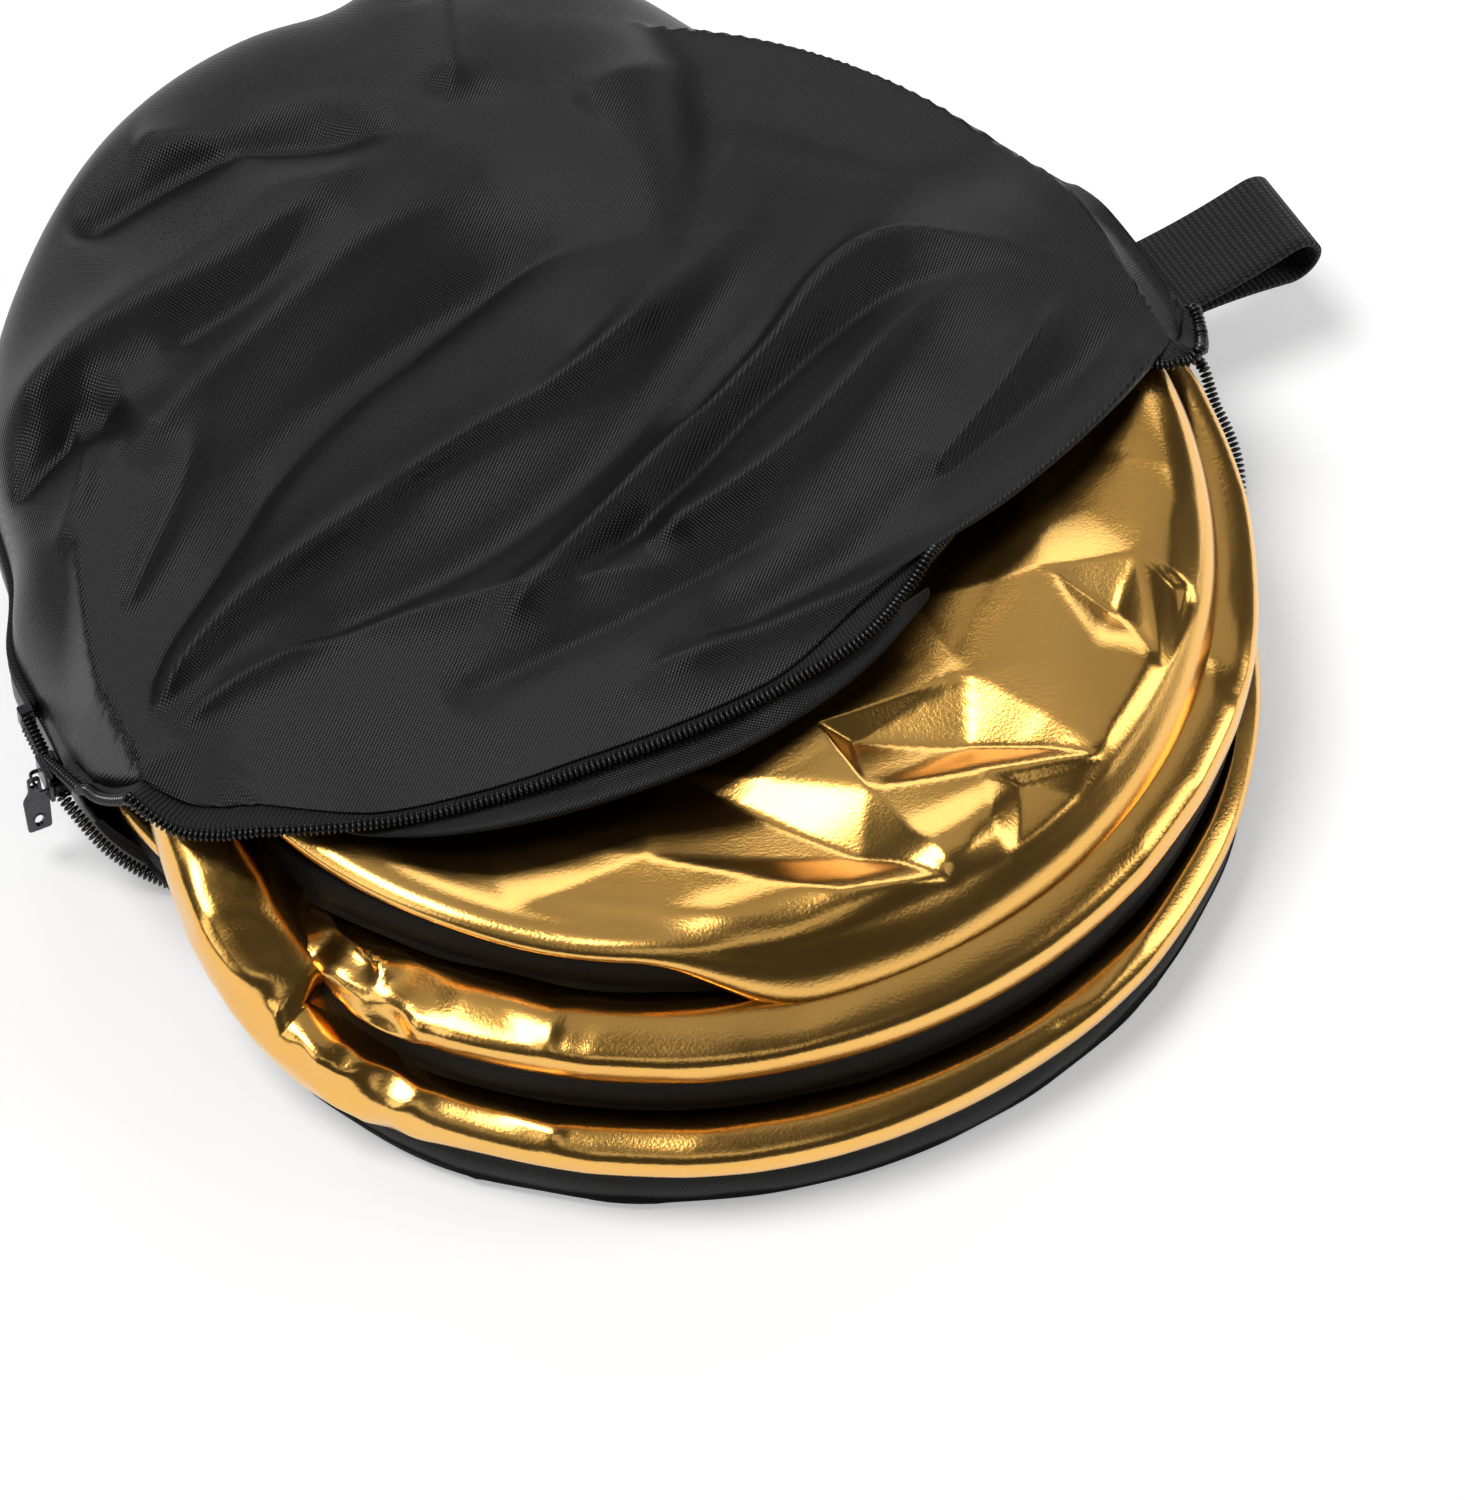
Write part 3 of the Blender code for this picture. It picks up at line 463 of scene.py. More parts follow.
# %% Loops and crossing
DISC_FORWARD = 0.0290
HOOP_DIAMETER = 0.800
LOOP_RADIUS = tuple(HOOP_DIAMETER / 6 + more for more in (0.0057, 0.0047, -0.0104))
LOOP_SHIFT = ((-0.0040, -0.0020), (0.0, 0.0090), (0.0030, 0.0120))
LOOP_HEIGHT = (0.0088, 0.0288, 0.0488)
CROSSING_SPAN = math.radians(72)
CROSSING_START = math.radians(191) - CROSSING_SPAN / 2
CROSSING_DIP = 0.0110
CROSSING_HASTE = (1.0, 3.4, 1.3)
CROSSING_LAG = (0.0, 0.0, 0.15)
HEM_DEPTH, HEM_HEIGHT = 0.0054, 0.0116


def loop_radius(k, angle):
    return LOOP_RADIUS[k] + LOOP_SHIFT[k][0] * np.cos(angle) + LOOP_SHIFT[k][1] * np.sin(angle)


def strand(k, angle):
    """Radius, height and share of the crossing of the strand that leaves loop k."""
    share = np.clip((angle - CROSSING_START) / CROSSING_SPAN, 0, 1)
    after = (k + 1) % 3
    quick = smoothstep(0, 1, CROSSING_HASTE[k] * share)
    radius = mix(loop_radius(k, angle), loop_radius(after, angle), quick)
    if k == 0:
        radius = radius - CROSSING_DIP * np.sin(math.pi * share) ** 2
    rise = smoothstep(CROSSING_LAG[k], 1.0, share)
    return radius, mix(LOOP_HEIGHT[k], LOOP_HEIGHT[after], rise), np.sin(math.pi * share)


def about_disc(radius, angle, height):
    return np.stack([radius * np.cos(angle), radius * np.sin(angle) - DISC_FORWARD, height], -1)


def turn(k, count):
    angle = CROSSING_START + np.linspace(0, 2 * math.pi, count, endpoint=False)
    return (angle, *strand(k, angle))


def loop_path(order, count):
    """Angles, radii, heights and crossing shares along several loops, one after the other."""
    parts = [turn(k, count) for k in order]
    return tuple(np.concatenate(row) for row in zip(*parts))


print(f"outer loop {LOOP_RADIUS[0] * 2000:.0f} mm across, pitch 20 mm")

# %% [markdown]
# ### The hem round the hoop
# A strip of black tape is folded round the hoop and sewn to the edge of the disc. It shows as the black band
# round each loop. A rounded section is swept along the whole path, pinched where the two seams run.

# %% Sweep the hem
HEM_POINTS, HEM_STEPS = 28, 170
HEM_GIRTH = 0.028
HEM_SQUARENESS = 0.75
MEAN_RADIUS = 0.134
SEAM_AT, SEAM_WIDTH, SEAM_PINCH = 0.62, 0.12, 0.16


def hem_section():
    turned = np.linspace(0, 2 * math.pi, HEM_POINTS, endpoint=False)
    out = HEM_DEPTH / 2 * np.sign(np.cos(turned)) * np.abs(np.cos(turned)) ** HEM_SQUARENESS
    up = HEM_HEIGHT / 2 * np.sign(np.sin(turned)) * np.abs(np.sin(turned)) ** HEM_SQUARENESS
    pinch = np.exp(-(((np.abs(up) / (HEM_HEIGHT / 2) - SEAM_AT) / SEAM_WIDTH) ** 2))
    return out * (1 - SEAM_PINCH * pinch), up


def make_hem():
    angle, radius, height, _ = loop_path((0, 1, 2), HEM_STEPS)
    out, up = hem_section()
    points = about_disc(radius[:, None] + out, angle[:, None], height[:, None] + up)
    wrinkle = rumple(points, 0.012, 3.1) * 0.35 * MM
    away = np.stack([np.cos(angle), np.sin(angle), 0 * angle], -1)[:, None]
    points = points + away * wrinkle[..., None]
    run = np.arange(len(angle) + 1)[:, None] * (2 * math.pi * MEAN_RADIUS / HEM_STEPS)
    edge = np.arange(HEM_POINTS + 1)[None] * (HEM_GIRTH / HEM_POINTS)
    uv = np.stack(np.broadcast_arrays(run, edge), -1)
    obj = lay_grid("hoop_hem", points, uv, True, True)
    face_outward(obj)
    obj.data.materials.append(lining)
    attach(obj, "folded_disc")
    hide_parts("edge_binding")
    report(obj)
    return obj


hem = make_hem()

# %% [markdown]
# ### Gold and black rolls
# Between the loops the disc's cloth bulges out: the gold face rolls over the top of each hem and the black
# face hangs under it. One strip is swept for each face: the black one all the way round, the gold one from
# where the hoop leaves the top loop to where it comes back to it. The gold's shelf is as wide as the step to
# the loop above, so it never stands in that loop's way. Where the hoop drops from the top loop to the bottom
# one, the gold also hangs down over the hem.

# %% Sweep the rolls
ROLL_ROWS = 30
GOLD_STEPS, BLACK_STEPS = 640, 240
GOLD_STOPS = 0.62
SPILL_FROM, SPILL_TO = math.radians(229), math.radians(206)
FOIL_THICK = 0.4 * MM
BLACK_SECTION = ((0.6, -3.8), (2.3, -5.4), (2.0, -7.0), (-2.0, -8.4), (-9.0, -8.9), (-18.0, -8.9))
BLACK_LOWEST = 3.0 * MM


def ledge(angle, radius, height):
    """How far a loop stands out past the hem of the loop above it."""
    lower = height < (LOOP_HEIGHT[0] + LOOP_HEIGHT[1]) / 2
    above = np.where(lower, loop_radius(1, angle), loop_radius(2, angle))
    return np.clip(radius - above - HEM_DEPTH / 2, 2 * MM, 20 * MM)


def gold_section(shelf, over, packed):
    """Points out from the hem and up, to under the loop above; over is how far the gold hides the hem."""
    crown = mix(12.0 * MM + 0.26 * shelf, 9.0 * MM, packed)
    bare = np.array([(0.6, 3.6), (2.5, 5.2), (3.6, 8.0)]) * MM
    hung = np.array([(1.0, -7.2), (4.6, -3.0), (6.0, 4.5)]) * MM
    inner = [
        (mix(2.6, 3.6, over) * MM, 0.86 * crown),
        (-0.30 * shelf, crown),
        (-0.72 * shelf, 0.97 * crown),
        (-shelf - 1.5 * MM, 11.0 * MM),
        (-shelf - 8 * MM, 9.6 * MM),
        (-shelf - 16 * MM, 9.2 * MM),
    ]
    return np.concatenate([mix(bare, hung, over), inner])


def sweep_strip(path, sections):
    """Points of a strip whose section changes along the path, and their cloth coordinates."""
    angle, radius, height, _ = path
    rows = []
    for a, r, h, section in zip(angle, radius, height, sections):
        place = spline(section, ROLL_ROWS)
        rows.append(about_disc(r + place[:, 0], np.full(ROLL_ROWS, a), h + place[:, 1]))
    points = np.array(rows)
    run = along(points[:, ROLL_ROWS // 3])[:, None]
    edge = along(points[len(points) // 2])[None]
    return points, np.stack(np.broadcast_arrays(run, edge), -1)


def outward(angle, up):
    return np.stack([np.cos(angle), np.sin(angle), up + 0 * angle], -1)[:, None]


# Each crease of the rolls: its ends as distance along the strip and across it (mm), its height and width (mm)
ROLL_CREASES = (
    ((60, 8), (112, 26), -3.0, 5),
    ((92, 28), (148, 10), 2.5, 5),
    ((118, 6), (172, 24), -3.0, 4),
    ((150, 26), (205, 12), 2.2, 5),
    ((925, 10), (985, 28), -4.0, 5),
    ((955, 30), (1018, 8), 3.2, 5),
    ((988, 6), (1048, 26), -4.0, 4),
    ((1030, 28), (1085, 12), 3.0, 5),
    ((330, 12), (420, 24), -1.6, 4),
    ((395, 26), (500, 14), 1.4, 5),
    ((470, 10), (560, 22), -1.4, 4),
    ((560, 26), (660, 16), -1.5, 4),
    ((640, 14), (760, 24), 1.3, 5),
    ((760, 24), (850, 12), -1.4, 4),
    ((1130, 12), (1240, 28), -1.8, 5),
    ((1215, 30), (1330, 16), 1.6, 6),
    ((1290, 10), (1380, 30), -2.2, 4),
    ((1385, 30), (1470, 14), 1.6, 6),
    ((1440, 12), (1560, 26), -1.8, 5),
    ((1540, 28), (1650, 14), 1.5, 5),
)


def roll_creases(cloth):
    total = np.zeros(cloth.shape[:2])
    for start, stop, height, width in ROLL_CREASES:
        middle = ((start[0] + stop[0]) / 2, (start[1] + stop[1]) / 2 + 1.5)
        total = total + tent(cloth[..., 0], cloth[..., 1], (start, middle, stop), height, (width, width))
    return total


def make_gold_roll():
    path = loop_path((2, 0), GOLD_STEPS)
    end = turn(1, GOLD_STEPS)
    keep = end[0] < CROSSING_START + GOLD_STOPS * CROSSING_SPAN
    path = tuple(np.concatenate([a, b[keep]]) for a, b in zip(path, end))
    angle, radius, height, crossing = path
    step = np.arange(len(angle))
    over = np.where(step < GOLD_STEPS, smoothstep(SPILL_FROM, SPILL_TO, angle), 0.0)
    shelf = ledge(angle, radius, height)
    packed = smoothstep(0.0, 0.035, radius * np.sin(angle) - DISC_FORWARD)
    climb = np.where(step >= 2 * GOLD_STEPS, (angle - CROSSING_START) / CROSSING_SPAN, 0.0)
    size = 1 - 0.8 * smoothstep(0.25, GOLD_STOPS, climb)
    sections = [gold_section(*facts) * scale for *facts, scale in zip(shelf, over, packed, size)]
    points, uv = sweep_strip(path, sections)
    free = np.sin(np.linspace(0, math.pi, ROLL_ROWS))[None] ** 0.7
    lengthwise = np.concatenate([uv * [0.14, 1.0], 0 * uv[..., :1]], -1)
    long_fold = 0.8 * MM - np.abs(rumple(lengthwise, 0.013, 7.7)) * 3.2 * MM
    pinch = -np.abs(rumple(points * [1, 1, 0.25], 0.034, 1.3)) * 1.4 * MM
    small = np.abs(rumple(points, 0.013, 5.2)) * 8.0 * MM
    large = np.abs(rumple(points, 0.020, 9.4)) * 8.0 * MM
    mess = 3.5 * MM - small - large
    bare = smoothstep(-0.044, -0.064, points[..., 1])
    crowd = (smoothstep(0.05, 0.6, crossing) * (1 - 0.85 * over))[:, None] * bare
    swell = mix(long_fold + pinch + 0.6 * MM, mess + 1.2 * MM, crowd) * size[:, None]
    swell = swell + roll_creases(uv) * bare
    points = points + outward(angle, 0.5) * (free * swell)[..., None]
    obj = lay_grid("gold_roll", points, uv)
    face_outward(obj, Vector((0, 0, 1)))
    obj.data.materials.append(gold)
    thicken(obj, FOIL_THICK, -1)
    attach(obj, "folded_disc")
    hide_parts("gold_fold_bottom", "gold_fold_middle")
    report(obj)
    return obj


def make_black_roll():
    path = loop_path((0, 1, 2), BLACK_STEPS)
    angle = path[0]
    points, uv = sweep_strip(path, [np.array(BLACK_SECTION) * MM] * len(angle))
    free = np.sin(np.linspace(0, math.pi, ROLL_ROWS))[None]
    points = points + outward(angle, -0.4) * (free * rumple(points, 0.022, 2.6) * 1.0 * MM)[..., None]
    points[..., 2] = np.maximum(points[..., 2], BLACK_LOWEST)
    uv = np.concatenate([uv, uv[:1] + [uv[-1, 0, 0] * 1.003, 0]])
    obj = lay_grid("black_roll", points, uv, True)
    face_outward(obj, Vector((0, 0, -1)))
    obj.data.materials.append(lining)
    thicken(obj, FOIL_THICK, -1)
    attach(obj, "folded_disc")
    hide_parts("black_fold_bottom", "black_fold_middle", "black_fold_top")
    report(obj)
    return obj


gold_roll = make_gold_roll()
black_roll = make_black_roll()

# %% [markdown]
# ### The gold dish
# Inside the top loop the gold face lies open like a dish. It is drawn in by the hoop, so it has a puffed rim,
# a low middle and a few hard creases that meet in points. Foil doesn't stretch, so between creases it stays
# nearly flat: the peaks and hollows are given, and Blender's own triangulation joins them into facets. From
# the front round to the right, the gold also hangs over the top loop's hem.

# %% Make the dish
DISH_TURNS, DISH_RINGS = 600, 170
RIM_RINGS = 60
# Highest points of the dish under the bag and in front of the lip, and how softly it meets them
CEILING_REAR, CEILING_FRONT = 0.0602, 0.0665
CEILING_ROUNDING = 1.6 * MM
HEM_COVER = 7.4 * MM
# Points of the crumpled part: place in plan and height over the plain dish (mm)
PEAKS = {
    "back_tip": (77, -70, 8.0),
    "back_ridge": (75, -97, 7.0),
    "right_star": (66, -125, 3.0),
    "saddle": (36, -117, 5.0),
    "front_star": (20, -142, 2.5),
    "zip_ridge_start": (-18, -62, 3.0),
    "zip_ridge": (10, -86, 4.5),
    "zip_valley": (-26, -78, -2.0),
    "pocket": (3, -124, -3.5),
    "left_facet": (12, -108, 3.5),
    "valley_start": (16, -92, 0.0),
    "valley": (40, -105, -2.5),
    "upper_facet": (48, -88, 3.0),
    "small_ridge_start": (46, -62, 2.0),
    "side_tip": (97, -76, 5.0),
    "side_ridge": (89, -108, 3.5),
    "side_valley": (86, -88, 0.0),
    "gutter": (104, -92, -3.0),
    "front_pocket": (44, -123, -0.5),
    "dome_edge": (-8, -134, 3.5),
    "dome": (-42, -104, 4.0),
    "left_hollow": (-72, -76, -2.0),
    "rear_left": (-60, -20, 0.0),
    "rear": (10, -20, 0.0),
    "rear_right": (90, -30, 0.0),
}
CREASES = (
    ("back_tip", "back_ridge"),
    ("back_ridge", "right_star"),
    ("right_star", "saddle"),
    ("saddle", "front_star"),
    ("zip_ridge_start", "zip_ridge"),
    ("zip_ridge", "upper_facet"),
    ("upper_facet", "right_star"),
    ("zip_valley", "pocket"),
    ("pocket", "front_star"),
    ("valley_start", "valley"),
    ("valley", "right_star"),
    ("left_facet", "saddle"),
    ("left_facet", "pocket"),
    ("left_facet", "front_star"),
    ("small_ridge_start", "upper_facet"),
    ("back_tip", "side_valley"),
    ("side_tip", "side_ridge"),
    ("side_ridge", "right_star"),
    ("saddle", "front_pocket"),
    ("front_pocket", "right_star"),
    ("dome", "dome_edge"),
    ("dome_edge", "front_star"),
)


def hanging(angle):
    """Share of the hang over the loop below, and the width of the step down to it."""
    turned = np.degrees(np.mod(angle - math.radians(120), 2 * math.pi)) + 120
    over = smoothstep(240, 262, turned) * smoothstep(425, 405, turned)
    shelf = loop_radius(1, angle) - loop_radius(2, angle) - HEM_DEPTH / 2
    return over, np.clip(shelf, 2 * MM, 18 * MM)


def facets(x, y):
    """Height of the creased foil: flat facets between the peaks, folded along the creases."""
    names = list(PEAKS)
    places = [Vector(PEAKS[name][:2]) for name in names]
    heights = [PEAKS[name][2] for name in names]
    for turned in np.radians(np.arange(0, 360, 15)):
        over, shelf = hanging(turned)
        edge = about_disc(loop_radius(2, turned) + 0.8 * over * shelf - 4 * MM, turned, 0.0) / MM
        places.append(Vector(edge[:2]))
        heights.append(1.0 * over)
    edges = [(names.index(a), names.index(b)) for a, b in CREASES]
    made = delaunay_2d_cdt(places, edges, [], 0, 1e-4)
    corners, faces = made[0], made[2]
    near = [min(range(len(places)), key=lambda k: (places[k] - corner).length) for corner in corners]
    total = np.zeros_like(x)
    for face in faces:
        a, b, c = (np.array(corners[k]) * MM for k in face)
        h = [heights[near[k]] * MM for k in face]
        twice = (b[0] - a[0]) * (c[1] - a[1]) - (c[0] - a[0]) * (b[1] - a[1])
        u = ((x - a[0]) * (c[1] - a[1]) - (c[0] - a[0]) * (y - a[1])) / twice
        v = ((b[0] - a[0]) * (y - a[1]) - (x - a[0]) * (b[1] - a[1])) / twice
        within = (u >= 0) & (v >= 0) & (u + v <= 1)
        total = np.where(within, h[0] + u * (h[1] - h[0]) + v * (h[2] - h[0]), total)
    return total


def dish_reach(angle):
    """Radius of the top loop, kept inside the strands that climb to it and leave it."""
    reach = loop_radius(2, angle)
    for k in (1, 2):
        radius, height, _ = strand(k, angle)
        below = np.maximum(0, LOOP_HEIGHT[2] - 0.006 - height)
        reach = np.minimum(reach, radius + 3 * below)
    kernel = np.hanning(31) / np.hanning(31).sum()
    return np.convolve(np.concatenate([reach[-15:], reach, reach[:15]]), kernel, "valid")


def rim_section(shelf, over):
    """Points out from the top loop's hem and up, from outside to inside."""
    bare = np.array([(0.6, 3.6), (2.2, 5.0), (2.9, 6.4), (2.0, 8.4), (-1.5, 10.0)])
    spill = 0.62 * shelf / MM
    hung = [(spill + 1.0, -7.5), (spill + 0.8, -4.0), (0.55 * spill + 2.4, 1.5), (3.6, 5.4), (0.2, 7.8)]
    inner = np.array([(-8, 9.0), (-18, 6.4), (-30, 3.6), (-46, 2.4)])
    return np.concatenate([mix(bare, np.array(hung), over), inner]) * MM


def dish_ceiling(y):
    """The lip of the bag passes over the rear part, which stays under it."""
    ahead = smoothstep(-0.118, -0.138, y)
    return mix(CEILING_REAR, CEILING_FRONT, ahead) - 3.6 * MM * smoothstep(0.0, 0.03, y)


def make_dish():
    angle = CROSSING_START + np.linspace(0, 2 * math.pi, DISH_TURNS, endpoint=False)
    over, shelf = hanging(angle)
    reach = dish_reach(angle)
    rim = np.array([spline(rim_section(a, b), RIM_RINGS) for a, b in zip(shelf, over)])
    inner = np.linspace(1, 0.0, DISH_RINGS - RIM_RINGS + 1)[1:]
    out = reach[:, None] + rim[..., 0]
    out = np.concatenate([out, out[:, -1:] * inner], 1)
    up = np.concatenate([rim[..., 1], np.repeat(rim[:, -1:, 1], len(inner), 1)], 1)
    points = about_disc(out, angle[:, None], LOOP_HEIGHT[2] + up)
    x, y = points[..., 0], points[..., 1]
    rise = facets(x, y)
    inside = smoothstep(2 * MM, 12 * MM, (reach + 0.6 * over * shelf)[:, None] - out)
    flat = points * [1, 1, 0]
    lumps = rumple(flat, 0.034, 4.4) * 2.2 * MM
    swell = rumple(points * [1, 1, 0.5], 0.028, 6.0) * 1.0 * MM
    points[..., 2] += inside * (rise + lumps) + (1 - inside) * swell
    off = out - reach[:, None]
    hem_top = LOOP_HEIGHT[2] + HEM_COVER - 1.5 * np.maximum(0, np.abs(off) - 3 * MM)
    points[..., 2] = np.where(off < 1 * MM, np.maximum(points[..., 2], hem_top), points[..., 2])
    soft = CEILING_ROUNDING
    points[..., 2] = -soft * np.logaddexp(-points[..., 2] / soft, -dish_ceiling(y) / soft)
    uv = np.concatenate([points[..., :2], points[:1, :, :2]])
    obj = lay_grid("gold_dish", points, uv, True)
    weld(obj)
    face_outward(obj, Vector((0, 0, 1)))
    obj.data.materials.append(gold)
    thicken(obj, FOIL_THICK, -1)
    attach(obj, "folded_disc")
    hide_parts("gold_fold_top")
    report(obj)
    return obj


gold_dish = make_dish()

# %% [markdown]
# ## The bag
# Two rounds of nylon are sewn together round the back. In front the zip joins them, and it stands open.
# The upper round is one cloth from the rear seam to the lip of the mouth, so it is made as one sheet here.
# A square grid bent into a round keeps its threads straight.

# %% The bag's outline
WALL = 0.1472
REAR = 0.1660
LIP, LIP_RIGHT = 0.0735, 0.0685
SEAM_Z = 0.0280
SEAM_SAG = 0.0030
CROWN = 0.0662
# Bulges of the outline: middle and half width (degrees round from the right), share of the radius
SWELLS = (
    (116, 24, 0.055),
    (82, 7, 0.045),
    (93, 5, -0.015),
    (146, 12, 0.020),
    (163, 6, -0.018),
    (170.5, 4, 0.014),
)


def outline_swell(angle):
    turned = np.degrees(angle)
    total = np.zeros_like(turned)
    for middle, half, share in SWELLS:
        total = total + share * np.exp(-(((turned - middle) / half) ** 2))
    return total * smoothstep(0, 8, turned) * smoothstep(180, 176, turned)


def seam_height(angle):
    """The seam sags a little at the right of the rear."""
    turned = np.degrees(angle)
    sag = smoothstep(6, 28, turned) * smoothstep(72, 48, turned)
    return SEAM_Z - SEAM_SAG * sag


def seam_line(angle):
    """Points of the rear seam, and the directions out from it in plan."""
    size = 1 + outline_swell(angle)
    place = np.stack([WALL * size * np.cos(angle), REAR * size * np.sin(angle), seam_height(angle)], -1)
    way = np.gradient(place[:, :2], axis=0)
    out = np.stack([way[:, 1], -way[:, 0], 0 * angle], -1)
    return place, out / np.linalg.norm(out, axis=1)[:, None]


# Steps of the disc's way into the bag, up to its stop
PUSHED_IN = (0.0, 0.009, 0.018, 0.026)
# In front of the mouth and inside the bag: rise over a loop, highest top and reach past the hoop
OVER_LOOP = (19.5 * MM, 11.5 * MM)
HIGHEST = (0.0604, 0.0562)
PAST_HOOP = (7.0 * MM, 5.0 * MM)
SKIRT_SLOPE = 2.6


def disc_top(x, y):
    """Height that the bag leaves for the disc, as it lies and pushed in to its stop."""
    return np.max([resting_top(x, y - push) for push in PUSHED_IN], axis=0)


def resting_top(x, y):
    """Height of the folded disc over the plan, with a steep skirt outside each strand of the hoop."""
    angle = np.arctan2(y + DISC_FORWARD, x)
    angle = CROSSING_START + np.mod(angle - CROSSING_START, 2 * math.pi)
    radius = np.hypot(x, y + DISC_FORWARD)
    covered = smoothstep(0.0, 0.03, y)
    best = np.zeros_like(x)
    for k in range(3):
        reach, height, _ = strand(k, angle)
        top = np.minimum(height + mix(*OVER_LOOP, covered), mix(*HIGHEST, covered))
        outside = np.maximum(0, radius - reach - mix(*PAST_HOOP, covered))
        best = np.maximum(best, top - SKIRT_SLOPE * outside)
    return best


print(f"bag {WALL * 2000:.0f} mm wide, seam {SEAM_Z / MM:.0f} mm up")

# %% [markdown]
# ### The upper round
# Folds fan out from the slider's corner, where the cloth is pulled, and die away towards the rear. They are
# laid over the plain dome as soft lines, then finer wrinkles are added. Where the dome would sink into the
# disc, the disc's height wins. A cloth simulation would put its own folds elsewhere, so none is run.

# %% Lay the upper round
TOP_GRID = 220
NYLON_THICK = 0.5 * MM
# Each fold: its points in plan (mm), its height (mm), its width at both ends (mm) and how much it leans
FOLDS = (
    (((-142, -26), (-124, -9), (-106, 5), (-76, 29), (-36, 50), (0, 61), (25, 57)), -9.0, (4, 10), 0.4),
    (((-138, -30), (-97, -6), (-38, 13), (6, 26), (36, 40), (58, 53)), 6.0, (5, 8), 0.4),
    (((-100, -22), (-44, -15), (1, 3), (32, 25), (60, 46)), -5.0, (6, 8), 0.3),
    (((-52, -40), (-3, -14), (38, 7), (65, 24), (86, 28), (108, 17)), 6.0, (6, 6), -0.4),
    (((-42, -37), (-3, -23), (36, -2), (75, 14), (105, 10)), -4.5, (6, 6), 0.0),
    (((-10, -32), (31, -21), (74, 2), (91, 11)), 5.0, (6, 6), 0.3),
    (((-9, -60), (48, -49), (100, -29), (128, -10)), -4.5, (6, 6), 0.3),
    (((-30, -64), (20, -64), (70, -58), (112, -40), (136, -16)), 4.0, (7, 6), 0.0),
    (((-136, 70), (-100, 82), (-60, 91), (-13, 108)), 7.0, (10, 12), 0.3),
    (((-96, 120), (-60, 125), (-30, 120), (-8, 108)), -7.0, (9, 8), 0.0),
    (((-110, 42), (-80, 60), (-40, 78), (10, 90)), 3.5, (9, 12), 0.3),
    (((-136, 52), (-118, 60), (-100, 62)), -6.0, (6, 7), 0.0),
    (((20, 150), (12, 128), (4, 112)), 4.0, (6, 8), 0.0),
    (((60, 84), (88, 62), (112, 40)), 3.0, (10, 9), 0.0),
    (((-134, -34), (-90, -24), (-40, -30), (10, -42)), 2.5, (4, 7), 0.3),
    (((-130, -12), (-100, 14), (-60, 38), (-30, 44)), 3.0, (3, 6), -0.3),
    (((-128, 2), (-104, 26), (-84, 52)), 2.5, (3, 6), 0.3),
    (((-60, 4), (-20, 18), (20, 38)), -2.5, (5, 6), 0.0),
    (((10, -4), (44, 16), (70, 36), (92, 40)), -3.0, (5, 5), 0.3),
    (((-70, -50), (-20, -46), (40, -34)), -2.5, (6, 6), 0.0),
    (((60, -40), (90, -22), (118, -2)), 2.5, (5, 5), 0.3),
    (((-90, 70), (-60, 78), (-36, 96)), -2.5, (6, 8), 0.0),
    (((-70, 140), (-50, 128), (-44, 112)), 2.5, (6, 8), 0.0),
    (((30, 100), (60, 104), (84, 96)), 2.0, (9, 9), 0.0),
    (((-132, 30), (-120, 44), (-112, 60)), 3.0, (4, 6), 0.0),
)


def round_grid(count):
    """A square grid pushed out into a unit round."""
    side = np.linspace(-1, 1, count)
    a, b = np.meshgrid(side, side, indexing="ij")
    return a * np.sqrt(1 - b * b / 2), b * np.sqrt(1 - a * a / 2)


def dome(x, y, share, angle):
    """Height of the upper round without its folds."""
    seam = np.where(y > 0, seam_height(angle), SEAM_Z)
    sag = (SEAM_Z - seam) / SEAM_SAG
    span = np.where(y > 0, share, np.abs(x) / WALL)
    span = np.clip(span, 0, 1)
    plain = seam + (CROWN - seam) * (1 - span ** mix(11.0, 2.8, sag)) ** mix(0.60, 1.0, sag)
    lip = np.where(y < 0, smoothstep(0.55, 1.0, share), 0.0)
    return plain - 3.2 * MM * lip * (1 - span**6)


FOLD_RELIEF = 1.4
FOLD_NARROW = 0.85
BAG_TOP = 0.0730
ROUNDING = 1.2 * MM


def top_height(x, y, share, angle):
    """Height of the upper round with its folds, kept above the disc."""
    rise = np.zeros_like(x)
    for line, height, width, skew in FOLDS:
        narrow = tuple(FOLD_NARROW * side for side in width)
        rise = rise + fold(x, y, line, FOLD_RELIEF * height, narrow, skew)
    flat = np.stack([x, y, 0 * x], -1)
    rise = rise + rumple(flat, 0.060, 2.2) * 1.8 * MM + rumple(flat, 0.020, 3.9) * 0.4 * MM
    span = np.where(y > 0, share, np.abs(x) / WALL)
    free = smoothstep(1.0, 0.84, span)
    soft = ROUNDING
    tall = dome(x, y, share, angle) + free * rise
    tall = -soft * np.logaddexp(-tall / soft, -BAG_TOP / soft)
    rolled = smoothstep(0.030, 0.062, x) * smoothstep(0.136, 0.118, x)
    tuck = rolled * smoothstep(0.5, 0.85, share) * (y < 0)
    room = 0.8 + 2.4 * smoothstep(-0.080, -0.105, x) + 3.4 * tuck
    floor = disc_top(x, y) + room * MM
    lifted = soft * np.logaddexp(tall / soft, floor / soft)
    hold = smoothstep(1.0, 0.985, span)
    return mix(tall, lifted, hold)


LIP_ROLL = 1.5 * MM
ROLLED_SHARE = 0.07


